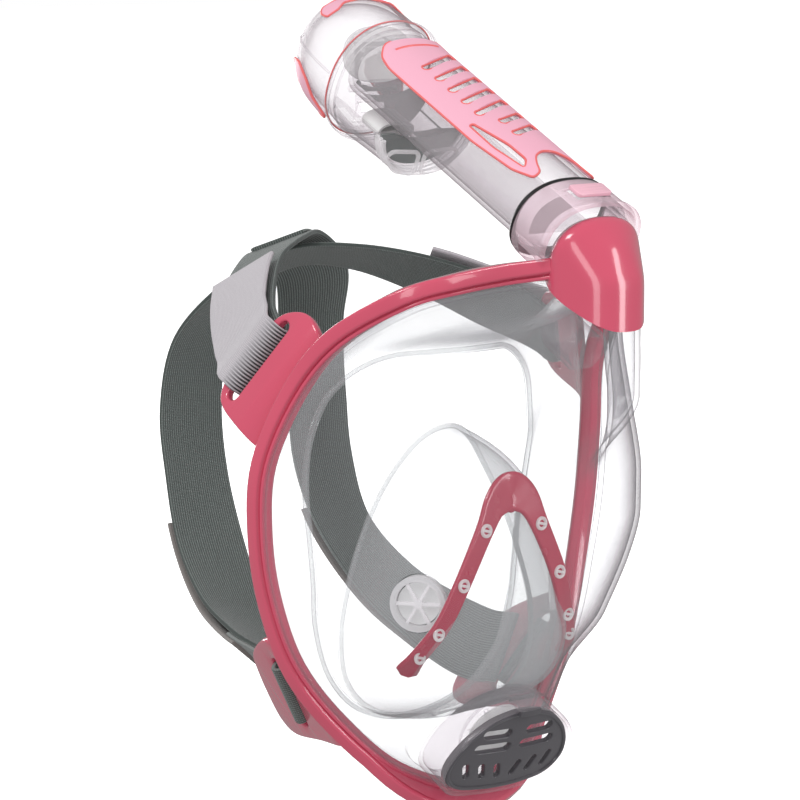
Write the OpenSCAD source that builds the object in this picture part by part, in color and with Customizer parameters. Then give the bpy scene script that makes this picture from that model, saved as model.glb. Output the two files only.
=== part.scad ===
// Full face snorkel mask with a detachable dry-top snorkel.
// +Z is up, the wearer looks toward -Y and +X is the wearer's left.
// The origin is the centre of the face opening, between the widest points of the frame.

/* [Frame and lens] */
// Width of the frame band along the lens surface
band_w = 9; // [7:0.5:10]
// Thickness of the frame band
band_t = 7.5; // [6:0.5:8]
// Radius of the lens dome at nose height
lens_r = 95.5; // [93:0.5:97]
// Wall of the lens
lens_t = 2.2; // [1.8:0.1:2.6]
// Distance of the central prow from the face opening
prow_y = 130; // [128:0.1:130.2]

/* [Soft parts] */
// Wall of the silicone skirt
skirt_t = 2; // [1.5:0.1:2.2]
// Wall of the oronasal pocket
pocket_t = 1.8; // [1.4:0.1:2]
// Width of the head straps
strap_w = 34; // [28:1:34]
// Thickness of the head straps
strap_t = 2; // [1.4:0.1:2.2]

/* [Snorkel] */
// Half-width of the tube
tube_a = 22.4; // [21:0.1:22.4]
// Half-depth of the tube
tube_b = 15.8; // [15:0.1:15.8]
// Wall of the tube
tube_t = 1.8; // [1.4:0.1:2]
// Tilt of the tube above the horizontal
tube_tilt = 26.7; // [24:0.1:29]
// Distance along the tube from the neck to the rim of the dry top
rim_s = 143; // [138:1:145]
// Travel of the float
float_travel = 7; // [5:0.5:7]

/* [Hidden] */

pink = "#E0607E";
clear = "#E8EEF0A0";
silicone = "#F4F4F6C0";
grey_strap = "#5A625E";
fit_gap = 0.4;

// ---- Curves and meshes ----

function clamp01(t) = min(1, max(0, t));
function smooth(t) = let (c = clamp01(t)) c * c * (3 - 2 * c);
function unit(v) = v / norm(v);
function flip_x(p) = [-p[0], p[1], p[2]];
function catmull(a, b, c, d, t) =
  0.5 * (2 * b + (c - a) * t + (2 * a - 5 * b + 4 * c - d) * t * t + (3 * b - a - 3 * c + d) * t * t * t);

// Closed smooth curve through the points, k steps on each span
function closed_curve(p, k) = let (n = len(p))
  [for (i = [0:n-1], j = [0:k-1])
    catmull(p[(i + n - 1) % n], p[i], p[(i + 1) % n], p[(i + 2) % n], j / k)];

// Open smooth curve through the points, k steps on each span
function open_curve(p, k) = let (n = len(p))
  [for (i = [0:n-2], j = [0:(i == n-2 ? k : k-1)])
    catmull(i == 0 ? 2 * p[0] - p[1] : p[i-1], p[i], p[i+1],
      i == n-2 ? 2 * p[n-1] - p[n-2] : p[i+2], j / k)];

// Whole loop from its +X half, whose first and last points lie on the middle plane
function mirrored_loop(half) = let (n = len(half))
  concat(half, [for (i = [n-2:-1:1]) flip_x(half[i])]);

// Rounded oval of half-width a and half-depth b; e is 2 for an ellipse
function oval_point(a, b, e, angle) = let (c = cos(angle), s = sin(angle))
  [a * sign(c) * pow(abs(c), 2 / e), b * sign(s) * pow(abs(s), 2 / e)];
function oval(a, b, e = 2.3, n = 40) = [for (i = [0:n-1]) oval_point(a, b, e, 360 * i / n)];

function flatten(rows) = [for (r = rows) each r];

// Faces between two closed rows of n points that start at a and b
function band(a, b, n) =
  [for (j = [0:n-1]) let (k = (j + 1) % n) each [[a + j, b + k, b + j], [a + j, a + k, b + k]]];
function turned(faces) = [for (f = faces) [f[2], f[1], f[0]]];

// Normal of a grid of closed rows, at row i and place j
function grid_normal(g, i, j) = let (m = len(g), n = len(g[0]))
  unit(cross(g[i][(j + 1) % n] - g[i][(j + n - 1) % n], g[min(i + 1, m - 1)][j] - g[max(i - 1, 0)][j]));
function offset_grid(g, d) =
  [for (i = [0:len(g)-1]) [for (j = [0:len(g[0])-1]) g[i][j] + d * grid_normal(g, i, j)]];

// Wall between an outer and an inner grid of closed rows; with a pole it is a dome
module wall_mesh(outer, inner, outer_pole = undef, inner_pole = undef) {
  m = len(outer);
  n = len(outer[0]);
  q = m * n;
  skins = [for (i = [0:m-2]) each concat(band(i * n, (i + 1) * n, n),
    turned(band(q + i * n, q + (i + 1) * n, n)))];
  rim = band((m - 1) * n, q + (m - 1) * n, n);
  mouth = outer_pole == undef
    ? turned(band(0, q, n))
    : [for (j = [0:n-1]) let (k = (j + 1) % n) each [[2 * q, k, j], [2 * q + 1, q + j, q + k]]];
  poles = outer_pole == undef ? [] : [outer_pole, inner_pole];
  polyhedron(concat(flatten(outer), flatten(inner), poles), concat(skins, rim, mouth), convexity = 8);
}

// Closed ring through closed sections
module ring_mesh(sections) {
  m = len(sections);
  n = len(sections[0]);
  polyhedron(flatten(sections),
    [for (i = [0:m-1]) each band(i * n, ((i + 1) % m) * n, n)], convexity = 8);
}

// Bar through sections, with flat ends
module bar_mesh(sections) {
  m = len(sections);
  n = len(sections[0]);
  last = (m - 1) * n;
  sides = [for (i = [0:m-2]) each turned(band(i * n, (i + 1) * n, n))];
  ends = [for (i = [0:n/2-2]) let (a = n - 1 - i, b = n - 2 - i)
    each [[i, i + 1, a], [i + 1, b, a],
      [last + i, last + a, last + i + 1], [last + i + 1, last + a, last + b]]];
  polyhedron(flatten(sections), concat(sides, ends), convexity = 8);
}

// Flat band: points with width vectors, each lifted along the band's own normal
module ribbon(points, widths, w, t, lifts) {
  m = len(points);
  bar_mesh([for (i = [0:m-1])
    let (tangent = unit(points[min(i + 1, m - 1)] - points[max(i - 1, 0)]),
      side = unit(widths[i] - tangent * (widths[i] * tangent)),
      out = cross(side, tangent),
      c = points[i] + out * lifts[i])
    [c - side * w / 2 + out * t / 2, c + side * w / 2 + out * t / 2,
     c + side * w / 2 - out * t / 2, c - side * w / 2 - out * t / 2]]);
}

// Places a plate drawn in x and y onto two directions at a centre
module on_plane(centre, d1, d2) {
  n = cross(d1, d2);
  multmatrix([[d1[0], d2[0], n[0], centre[0]], [d1[1], d2[1], n[1], centre[1]],
    [d1[2], d2[2], n[2], centre[2]]]) children();
}

module both_sides(left) {
  if (left) children();
  else mirror([1, 0, 0]) children();
}

// ---- Frame outline and lens surface ----

frame_half = [[0, -117, 101], [17, -109, 100], [28, -90.5, 97], [42, -75, 92.5], [60, -62, 86],
  [75, -38, 69], [83, -20, 46], [91, -9, 15], [91, -6, -15], [86, -6, -45], [76, -10, -75],
  [58, -18, -101], [34, -28, -123], [0, -34, -134]];
frame_line = closed_curve(mirrored_loop(frame_half), 2);
lens_zc = -10;

function dome_radius(z) = let (down = max(0, -12 - z), up = max(0, z - 2))
  lens_r - 0.43 * down * down / (down + 12) - 0.36 * up * up / (up + 38);
function prow_gain(z) =
  smooth((z - 2) / 46) * (prow_y - dome_radius(z)) * (1 - 0.25 * max(0, (z - 78) / 25));
function prow_bell(a) = 1 / (1 + pow(abs(a) / 10.2, 3.2));

// Point of the lens between its middle and the frame point b, r from 0 to 1
function lens_point(b, r) = let (
    az = atan2(b[0], -b[1]),
    rim = norm([b[0], b[1]]) - dome_radius(b[2]) - prow_gain(b[2]) * prow_bell(az),
    z = lens_zc + r * (b[2] - lens_zc),
    steep = 3 + 4 * clamp01((-b[2] - 60) / 74),
    dip = 7 * smooth((-58 - z) / 22) * pow(sin(2 * r * az), 2) * (1 - pow(r, 6)),
    q = dome_radius(z) + prow_gain(z) * prow_bell(r * az) + rim * pow(r, steep) - dip)
  [q * sin(r * az), -q * cos(r * az), z];

lens_rows = [for (r = [0.14, 0.3, 0.45, 0.6, 0.72, 0.82, 0.91, 1])
  [for (b = frame_line) lens_point(b, r)]];
lens_last = len(lens_rows) - 1;

// Directions at each frame sample: outward along the lens, and away from the face
frame_out = [for (j = [0:len(frame_line)-1]) unit(lens_rows[lens_last][j] - lens_rows[lens_last-1][j])];
frame_normal = [for (j = [0:len(frame_line)-1]) grid_normal(lens_rows, lens_last, j)];

// Point beside the frame line, w outward along the lens and h away from the face
function beside(j, w, h) = frame_line[j] + w * frame_out[j] + h * frame_normal[j];

// ---- Frame ----

module frame() {
  w = band_w / 2;
  top = band_t / 2;
  soft = 1.6;
  section = [[-w, -top + soft], [-w, top - soft], [soft - w, top], [w - soft, top],
    [w, top - soft], [w, soft - top], [w - soft, -top], [soft - w, -top]];
  color(pink) ring_mesh([for (j = [0:len(frame_line)-1])
    [for (s = section) beside(j, s[0], s[1])]]);
}

// ---- Lens ----

chin_centre = [0, -60.2, -108.7];
chin_tilt = 116.2;
chin_half = [[0, 20], [10, 18.6], [19, 14.8], [28, 6.5], [33, -4], [32, -12.5], [25, -18.5],
  [12, -20.5], [0, -21]];
chin_outline = let (h = [for (p = chin_half) [p[0], p[1], 0]])
  [for (p = closed_curve(mirrored_loop(h), 3)) [p[0], p[1]]];

module at_chin() {
  translate(chin_centre) rotate([chin_tilt, 0, 0]) children();
}
module chin_shape(grow) {
  polygon([for (p = chin_outline) p * (1 + grow / 26)]);
}

module lens() {
  inset = band_w / 2 + fit_gap;
  rows = [for (i = [0:lens_last]) [for (j = [0:len(frame_line)-1])
    i < lens_last ? lens_rows[i][j] : beside(j, -inset, 0)]];
  middle = [0, -dome_radius(lens_zc), lens_zc];
  color(clear) difference() {
    wall_mesh(offset_grid(rows, lens_t / 2), offset_grid(rows, -lens_t / 2),
      middle - [0, lens_t / 2, 0], middle + [0, lens_t / 2, 0]);
    at_chin() translate([0, 0, -30]) linear_extrude(60) chin_shape(2.6);
  }
}

// ---- Skirt ----

opening_half = [[0, -32, 58], [16, -28, 57.5], [32, -20, 56], [45, -13, 50], [55, -7, 40],
  [60, -3, 26], [62, -1, 12], [61, 1, -4], [58, 2, -22], [56, 2, -42], [54, 3, -62], [46, 4, -84],
  [28, 6, -101], [0, 8, -108]];
opening_line = closed_curve(mirrored_loop(opening_half), 2);

function skirt_point(j, t) = let (
    a = beside(j, 1.5, -band_t / 2 - fit_gap - skirt_t / 2),
    c = opening_line[j],
    bulge = 18 * smooth((75 - frame_line[j][2]) / 60) + 4,
    dip = 30 * smooth((42 - abs(frame_line[j][0])) / 16) * smooth((frame_line[j][2] - 60) / 20),
    b = a + frame_out[j] * bulge * 0.5 - frame_normal[j] * bulge * 0.4 + [0, bulge * 0.4, -dip],
    d = c + [c[0] * 0.12, 11, c[2] * 0.12])
  pow(1 - t, 3) * a + 3 * t * pow(1 - t, 2) * b + 3 * t * t * (1 - t) * d + t * t * t * c;

module skirt() {
  rows = [for (t = [0:0.125:1]) [for (j = [0:len(frame_line)-1]) skirt_point(j, t)]];
  color(silicone) wall_mesh(offset_grid(rows, skirt_t / 2), offset_grid(rows, -skirt_t / 2));
}

// ---- Oronasal pocket and its stiffener ----

pocket_half = [[0, -19, 24], [13, -16, 19], [26, -12, 4], [37, -11, -14], [47, -11, -38], [53, -12, -62],
  [50, -13, -84], [34, -15, -98], [0, -17, -103]];
pocket_line = closed_curve(mirrored_loop(pocket_half), 2);
pocket_front = [0, -61, -48];
seat_place = [38, -46.5, -45];
seat_turn = 52;

function pocket_point(b, r) = let (
    p = pocket_front + r * (b - pocket_front),
    fullness = 5.2 + 3.5 * smooth((b[2] + 38) / 50))
  [p[0], pocket_front[1] + (b[1] - pocket_front[1]) * pow(r, fullness), p[2]];

// Frame of the left inhale valve, z out of the pocket
module at_inhale_seat() {
  translate(seat_place) rotate([90, 0, seat_turn]) children();
}

module oronasal_pocket() {
  rows = [for (r = [0.25, 0.5, 0.68, 0.8, 0.88, 0.95, 1]) [for (b = pocket_line) pocket_point(b, r)]];
  color(silicone) difference() {
    wall_mesh(offset_grid(rows, pocket_t / 2), offset_grid(rows, -pocket_t / 2),
      pocket_front - [0, pocket_t / 2, 0], pocket_front + [0, pocket_t / 2, 0]);
    for (side = [0, 1]) mirror([side, 0, 0])
      at_inhale_seat() translate([0, 0, -9]) cylinder(h = 18, r = 12.4, $fn = 48);
    at_chin() translate([0, 0, -60]) cylinder(h = 60, r = 15, $fn = 48);
  }
}

stiffener_half = [[0, -61, 4], [8.5, -61.5, -2], [15.2, -62, -14.3], [26.5, -61, -36.6],
  [34, -57, -54], [41.5, -50.2, -67], [44.5, -44.5, -75]];
stiffener_line = let (n = len(stiffener_half))
  open_curve(concat([for (i = [n-1:-1:1]) flip_x(stiffener_half[i])], stiffener_half), 4);
stud_places = [[15.2, -62, -14.3], [26.5, -61, -36.6], [35.8, -55.8, -57], [41.5, -50.2, -67]];

module pocket_stiffener() {
  color("#C44E64") ribbon(stiffener_line,
    [for (p = stiffener_line) cross([0, -1, 0], [1, 0, p[0] > 0 ? -2 : 2])], 9, 2.4,
    [for (p = stiffener_line) 0]);
}

module stiffener_studs() {
  color(silicone) for (side = [-1, 1], i = [0:3])
    translate([side * stud_places[i][0], stud_places[i][1], stud_places[i][2]]) rotate([90, 0, 0]) {
      translate([0, 0, -3]) cylinder(h = 6, r = 1.3, $fn = 24);
      translate([0, 0, 1.8]) cylinder(h = 1.4, r = 2.3, $fn = 24);
    }
}

module inhale_seat(left) {
  both_sides(left) at_inhale_seat() color(clear) {
    difference() {
      translate([0, 0, -2.5]) cylinder(h = 5, r = 12, $fn = 48);
      translate([0, 0, -4]) cylinder(h = 8, r = 9.6, $fn = 48);
    }
    for (a = [0:60:120]) rotate(a) translate([-10.6, -0.7, 0.5]) cube([21.2, 1.4, 1.4]);
    translate([0, 0, 0.2]) cylinder(h = 2.1, r = 2, $fn = 32);
  }
}

module inhale_flap(left) {
  both_sides(left) at_inhale_seat() color(silicone)
    translate([0, 0, -1.2]) cylinder(h = 0.9, r = 9.1, $fn = 48);
}

// ---- Chin valve ----

module chin_valve_housing() {
  color(clear) at_chin() difference() {
    translate([0, 0, -14]) linear_extrude(17.5) chin_shape(2);
    translate([0, 0, -12]) linear_extrude(20) chin_shape(0.4);
    translate([0, -1, -20]) cylinder(h = 20, r = 15.8, $fn = 48);
  }
}

module chin_valve_seat() {
  color(clear) at_chin() translate([0, -1, -14]) {
    difference() {
      cylinder(h = 3, r = 15.7, $fn = 48);
      translate([0, 0, -1]) cylinder(h = 5, r = 12.4, $fn = 48);
    }
    for (a = [0:60:120]) rotate(a) translate([-13.5, -0.8, 0]) cube([27, 1.6, 2.2]);
    cylinder(h = 3, r = 2.6, $fn = 32);
  }
}

module chin_valve_flap() {
  color(silicone) at_chin() translate([0, -1, -10.6]) cylinder(h = 1, r = 14.4, $fn = 48);
}

module slot(x, y, length, height, turn = 0) {
  translate([x, y]) rotate(turn) {
    square([length - height, height], center = true);
    for (e = [-1, 1]) translate([e * (length - height) / 2, 0]) circle(d = height, $fn = 24);
  }
}

module chin_cover() {
  color("#6E7278") at_chin() translate([0, 0, 0.2]) difference() {
    union() {
      linear_extrude(3) chin_shape(-0.1);
      translate([0, 0, 2.9]) linear_extrude(1.6) chin_shape(-3.5);
    }
    translate([0, 0, -1]) linear_extrude(8) for (side = [-1, 1]) {
      for (row = [0:1]) slot(side * 11.5, 9.5 - 6.5 * row, 14 + 3 * row, 3.4);
      for (column = [0:2]) slot(side * (5 + 8.5 * column), -10.5 + column * 0.8, 8.5, 3, side * 70);
    }
  }
}

module chin_cover_latch() {
  color(clear) at_chin() translate([-7, 22.6, -2.4]) {
    cube([14, 2.2, 8.6]);
    translate([1.5, -2.2, 7]) cube([11, 2.4, 1.6]);
  }
}

// ---- Snorkel socket on the mask ----

neck = [0, -107.4, 112.2];

// Frame of the snorkel: z along the tube, y to its underside
module along_tube() {
  translate(neck) rotate([tube_tilt - 90, 0, 0]) children();
}

module hood_plan(grow) {
  half = [[4, -18, 0], [9, -16.5, 0], [15, -11, 0], [19, -2, 0], [20, 8, 0], [16.5, 15, 0], [8, 19, 0]];
  outline = closed_curve(concat(half, [for (i = [6:-1:0]) flip_x(half[i])]), 2);
  polygon([for (p = outline) [p[0], p[1]] * (1 + grow / 18)]);
}

module hood_solid(grow) {
  hull() {
    translate([0, -116, 72]) linear_extrude(24 + grow) hood_plan(grow);
    translate([0, -113, 100]) scale([1, 0.9, 1]) sphere(r = 20 + grow, $fn = 32);
    along_tube() translate([0, 2.5, -9]) linear_extrude(3) polygon(oval(21.5 + grow, 16 + grow, n = 32));
  }
}

module socket_hood() {
  color("#E8506E") difference() {
    hood_solid(0);
    hood_solid(-2.2);
    translate([0, -134, 75.5]) rotate([33, 0, 0]) translate([-30, -20, -40]) cube([60, 90, 40]);
    along_tube() {
      translate([0, 0, -16]) linear_extrude(20) polygon(oval(20.7, 14.1));
      translate([0, 0, 1.5]) linear_extrude(30) square(90, center = true);
      translate([0, 0, -4.4]) linear_extrude(10) difference() {
        square(90, center = true);
        polygon(oval(tube_a, tube_b));
      }
    }
  }
}

// Room for the frame where it passes under the collar and the pipe, from s0 to s1
module frame_notches(s0, s1) {
  for (side = [0, 1]) mirror([side, 0, 0]) translate([12.6, 7.6, s0]) cube([30, 24, s1 - s0]);
}

module socket_pipe() {
  color(clear) along_tube() difference() {
    translate([0, 0, -4.4]) linear_extrude(16.4) polygon(oval(20.2, 13.6));
    translate([0, 0, -7]) linear_extrude(20) polygon(oval(18.4, 11.8));
    translate([0, -5, 0]) frame_notches(-7, 1.5);
  }
}

module intake_duct() {
  color(clear) translate([0, -101, 69]) rotate([118, 0, 0]) difference() {
    linear_extrude(18, center = true) polygon([for (a = [0:60:300]) [12 * cos(a), 10 * sin(a)]]);
    linear_extrude(20, center = true) polygon([for (a = [0:60:300]) [10.4 * cos(a), 8.4 * sin(a)]]);
  }
}

// ---- Snorkel collar and tube ----

collar_s = 17;
button_w = 18;
button_y = [-18.3, 21.4];

module snorkel_collar() {
  color(clear) along_tube() difference() {
    translate([0, 1.8, -4]) union() {
      linear_extrude(collar_s + 4) polygon(oval(25.6, 19.6));
      linear_extrude(2.4) polygon(oval(26.6, 20.4));
    }
    translate([0, 0, -6]) linear_extrude(30) polygon(oval(tube_a + 0.35, tube_b + 0.35));
    for (y = button_y) translate([-button_w / 2 - 0.6, y - 4, 1.4]) cube([button_w + 1.2, 8, 9.2]);
    frame_notches(-7, 12);
    translate([-30, 13, -7]) cube([60, 14, 7.2]);
  }
}

module collar_seal() {
  color("#202022") along_tube() translate([0, 1.4, collar_s + 0.1]) difference() {
    linear_extrude(2) polygon(oval(24.8, 18.6));
    translate([0, -1.4, -1]) linear_extrude(4) polygon(oval(tube_a + 0.35, tube_b + 0.35));
  }
}

module collar_button(y) {
  color("#F3B9C8") along_tube() translate([-button_w / 2, y - 0.9, 2]) cube([button_w, 1.8, 8]);
}

module snorkel_tube() {
  color(clear) along_tube() difference() {
    translate([0, 0, 2]) linear_extrude(rim_s - 2) polygon(oval(tube_a, tube_b));
    translate([0, 0, 1]) linear_extrude(rim_s) polygon(oval(tube_a - tube_t, tube_b - tube_t));
  }
}

module tube_partition() {
  color(clear) along_tube() translate([-18.4, 5, 14]) cube([36.8, 1.4, rim_s - 16]);
}

// Wall over part of an oval's round, lofted along the tube.
// Each station is [s, half-width, half-depth, centre y].
function arc_row(q, from, to, steps, t, e) = [for (i = [0:steps])
  let (p = oval_point(q[1] + t, q[2] + t, e, from + (to - from) * i / steps)) [p[0], q[3] + p[1], q[0]]];
module arc_wall(stations, from, to, steps, t0, t1, e = 2.2) {
  bar_mesh([for (q = stations)
    concat(arc_row(q, from, to, steps, t1, e), arc_row(q, to, from, steps, t0, e))]);
}

// Solid lofted through the same kind of stations
module oval_loft(stations, grow, n = 32) {
  bar_mesh([for (q = stations) [for (p = oval(q[1] + grow, q[2] + grow, 2.2, n)) [p[0], q[3] + p[1], q[0]]]]);
}

module grip_overlay() {
  color("#FDC0D8") along_tube() difference() {
    arc_wall([[24, tube_a, tube_b, 0], [rim_s - 6, tube_a, tube_b, 0]], 212, 322, 14, 0.35, 2, 2.3);
    for (i = [0:5]) translate([0, -24, 58 + i * 12]) rotate([90, 0, 0])
      linear_extrude(20, center = true) slot(i % 2 == 0 ? 2 : -3, 0, 16, 3.6, 24);
    translate([-1.5, -10, 20]) rotate([90, 0, 0])
      linear_extrude(16) polygon([[-5.5, -2], [5.5, -2], [0.8, 28], [-0.8, 28]]);
  }
}

// ---- Dry top ----

pod_s = 113;
pod_stations = [[pod_s, 25, 23.4, 10], [128, 25.6, 25, 9.4], [rim_s - 0.2, 26.5, 27, 8.6]];
cap_stations = [[rim_s + 5.2, 26.6, 27.4, 8.6], [rim_s + 18, 26.4, 26.8, 8.3], [rim_s + 29, 25, 24.6, 8],
  [rim_s + 38, 21, 19.4, 7.6], [rim_s + 43, 13, 11, 7.2]];

// Half-moon under the tube, at the lower end of the pod
module half_moon(grow, tube_grow) {
  difference() {
    translate([0, 10]) polygon(oval(25 + grow, 23.4 + grow, 2.2, 64));
    polygon(oval(tube_a + tube_grow, tube_b + tube_grow));
    translate([-40, -40 + 15]) square([80, 40]);
  }
}

module exhale_pod() {
  color(clear) along_tube() {
    arc_wall(pod_stations, 14, 166, 18, -1.8, 0);
    translate([0, 0, pod_s + 0.1]) linear_extrude(1.6) difference() {
      half_moon(-0.9, 0.3);
      for (side = [-1, 1]) translate([side * 9, 24]) circle(r = 5.6, $fn = 40);
    }
  }
}

module dry_top_rim() {
  color(clear) along_tube() translate([0, 0, rim_s]) difference() {
    linear_extrude(5) translate([0, 8.6]) polygon(oval(28, 28.8));
    translate([0, 0, -1]) linear_extrude(7) polygon(oval(17, 11.2));
    translate([0, 0, 2]) linear_extrude(5) translate([0, 8.6]) polygon(oval(25, 25.8));
    translate([-11, 18, -1]) cube([22, 10, 5]);
  }
}

module dry_top_cap() {
  color(clear) along_tube() difference() {
    oval_loft(cap_stations, 0);
    translate([0, 0, -0.6]) oval_loft([for (q = cap_stations) [q[0] - 1.6, q[1], q[2], q[3]]], -2);
    for (x = [-12, 0, 12]) translate([x - 3, 26, rim_s + 8]) cube([6, 14, 16]);
  }
}

module top_trim() {
  color(pink) along_tube() arc_wall([for (i = [1:3]) cap_stations[i]], 196, 344, 20, 0.4, 1.6);
}

module pod_trim() {
  color("#F4879B") along_tube() for (side = [0, 1]) mirror([side, 0, 0])
    arc_wall([for (i = [0:2]) cap_stations[i]], 8, 44, 6, 0.4, 1.6);
}

// Guard round the exhale flap, with a rib and a loop across it
module exhale_bracket() {
  color(clear) along_tube() translate([0, 0, pod_s - 7]) {
    linear_extrude(7) difference() {
      half_moon(0, 0.6);
      half_moon(-1.8, -3);
    }
    linear_extrude(2) intersection() {
      half_moon(-0.9, 0.6);
      union() {
        for (x = [-15, 0, 15]) translate([x - 1.1, 0]) square([2.2, 40]);
        translate([-16, 20.5]) square([32, 2]);
      }
    }
  }
}

module exhale_flap() {
  color("#8A9090") along_tube() translate([0, 0, pod_s - 1.4]) linear_extrude(1.1) half_moon(-3, 1.8);
}

// ---- Float valve ----

// The lever is drawn shut on its seat and turned open by lever_open
lever_open = 28;
lever_y = 14.6;
lever_s = rim_s + 7;

module on_lever() {
  along_tube() translate([0, lever_y, lever_s]) rotate([-lever_open, 0, 0]) children();
}

module float() {
  color("#F0F0F0") along_tube() translate([0, 23.3, rim_s - 3 - 13]) difference() {
    linear_extrude(13) polygon(oval(9.8, 4.4));
    translate([0, 0, -1]) linear_extrude(12) polygon(oval(8.6, 3.2));
  }
}

module float_lever() {
  color(pink) on_lever() {
    rotate([0, 90, 0]) cylinder(h = 25, r = 1.5, center = true, $fn = 32);
    for (x = [-9, 7]) translate([x, -20, -1]) cube([2, 32.4, 2]);
    translate([-9, 10.4, -1]) cube([18, 2, 2]);
    translate([-9, -20, -1]) cube([18, 2, 2]);
    translate([-3, -lever_y - 3, -2.7]) cube([6, 6, 3.7]);
    translate([-9, -lever_y - 1, -1]) cube([18, 2, 2]);
  }
}

module seal_disc() {
  color("#F6F6F6") on_lever() translate([0, -lever_y, -4.6]) linear_extrude(1.8) polygon(oval(18.5, 12.2));
}

// ---- Strap clips ----

upper_centre = [-82, 5, 56];
upper_d1 = unit([0.442, -0.413, 0.796]);
upper_d2 = cross(unit(cross(upper_d1, [-0.074, -0.902, -0.426])), upper_d1);
lower_centre = [-64, 9, -88];
lower_d1 = unit([0.499, -0.22, -0.838]);
lower_d2 = cross(unit(cross(lower_d1, [-0.224, -0.967, 0.12])), lower_d1);
clip_t = 4;

// Everything inside the outer edge of the frame, which the clips are cut back from
module inside_frame() {
  edge = band_w / 2 + 1;
  section = [[-26, -17], [-26, 17], [edge, 17], [edge, -17]];
  ring_mesh([for (j = [0:len(frame_line)-1]) [for (q = section) beside(j, q[0], q[1])]]);
}

module plate(points, t) {
  translate([0, 0, -t / 2]) linear_extrude(t)
    polygon([for (p = closed_curve([for (q = points) [q[0], q[1], 0]], 3)) [p[0], p[1]]]);
}

module upper_clip(left) {
  both_sides(!left) color(pink) difference() {
    on_plane(upper_centre, upper_d1, upper_d2) difference() {
      plate([[19, -6], [26.5, 1], [29, 9], [26, 17], [20, 20], [6, 20.5], [-9, 22], [-22, 25],
        [-27, 23], [-26.5, 13], [-25.5, 1], [-22, -5.5], [-13, -9], [4, -8.6]], clip_t);
      translate([0, 0.5, -5]) linear_extrude(10) slot(0, 0, 41, 6.4);
    }
    inside_frame();
  }
}

module lower_clip(left) {
  both_sides(!left) color(pink) difference() {
    on_plane(lower_centre, lower_d1, lower_d2) difference() {
      plate([[-28, 5], [-22, -9], [-10, -19], [7, -27.5], [18.5, -30], [25, -23], [27, 2], [28, 24],
        [23, 34], [6, 33], [-9, 30], [-20, 26], [-27, 20]], clip_t);
      translate([0, 3, -5]) linear_extrude(10) slot(0, 0, 42, 7, -26);
    }
    inside_frame();
  }
}

// ---- Straps ----

// The strap leaves the right upper clip, crosses over the crown and ends at the left lower clip
strap_path = [[-78.6, 5, 54], [-77, 16, 60], [-67, 33, 68], [-46, 55, 80], [-22, 74, 88], [0, 92, 88],
  [22, 105, 74], [33, 117, 50], [36, 121, 20], [36, 117, -10], [38, 104, -39], [44, 79, -63],
  [50, 52, -77], [56, 30, -86], [60.5, 13, -86.5]];
strap_sides = [[0.44, -0.41, 0.8], [0.44, -0.41, 0.8], [0.5, -0.3, 0.8], [0.55, -0.5, 0.6],
  [0.53, -0.74, 0.4], [0.61, -0.72, 0.33], [0.76, -0.59, 0.27], [1, -0.15, 0.1], [1, 0, 0], [1, 0, 0],
  [1, 0.1, 0], [0.95, 0.1, 0.25], [0.85, 0, 0.5], [0.6, -0.1, 0.8], [0.53, 0.12, 0.84]];
cross_lift = 6;
tail_lift = 5.2;
strap_steps = 3;
crossing = 5 * strap_steps;
strap_line = open_curve(strap_path, strap_steps);
strap_side_line = open_curve(strap_sides, strap_steps);

// The right strap rides over the left one round the crossing
function lift_at(i, left) = left ? 0 : cross_lift * smooth((10 - abs(i - crossing)) / 5);

module strap(left) {
  color(grey_strap) both_sides(!left)
    ribbon(strap_line, strap_side_line, strap_w, strap_t,
      [for (i = [0:len(strap_line)-1]) lift_at(i, left)]);
}

// Stretch of the strap's route from sample i0 to i1, lying on the strap
module tail(i0, i1, left) {
  ribbon([for (i = [i0:i1]) strap_line[i]], [for (i = [i0:i1]) strap_side_line[i]], strap_w, strap_t,
    [for (i = [i0:i1]) tail_lift + lift_at(i, left)]);
}

module upper_tail(left) {
  color("#C9C6CC") both_sides(!left) tail(3, 11, left);
}

module lower_tail(left) {
  color("#8C8783") both_sides(left) tail(29, 37, left);
}

module crossing_patch() {
  color(grey_strap) translate([0, 95.5, 95.8]) rotate([-24, 0, 0]) cube([26, 26, 1.6], center = true);
}

frame();
lens();
skirt();
oronasal_pocket();
pocket_stiffener();
stiffener_studs();
inhale_seat(true);  // inhale_seat_left
inhale_seat(false);  // inhale_seat_right
inhale_flap(true);  // inhale_flap_left
inhale_flap(false);  // inhale_flap_right
chin_valve_housing();
chin_valve_seat();
chin_valve_flap();
chin_cover();
chin_cover_latch();
socket_hood();
socket_pipe();
intake_duct();
snorkel_collar();
collar_seal();
collar_button(button_y[0]);  // collar_button_front
collar_button(button_y[1]);  // collar_button_rear
snorkel_tube();
tube_partition();
grip_overlay();
exhale_pod();
dry_top_rim();
dry_top_cap();
top_trim();
pod_trim();
exhale_bracket();
exhale_flap();
float();
float_lever();
seal_disc();
upper_clip(true);  // upper_clip_left
upper_clip(false);  // upper_clip_right
lower_clip(true);  // lower_clip_left
lower_clip(false);  // lower_clip_right
strap(true);  // strap_left
strap(false);  // strap_right
upper_tail(true);  // upper_tail_left
upper_tail(false);  // upper_tail_right
lower_tail(true);  // lower_tail_left
lower_tail(false);  // lower_tail_right
crossing_patch();
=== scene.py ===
"""Looks of the full face snorkel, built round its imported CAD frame. Lengths here are in millimetres."""
import math

import bmesh
import bpy
import numpy as np
from mathutils import Matrix, Vector


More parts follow.
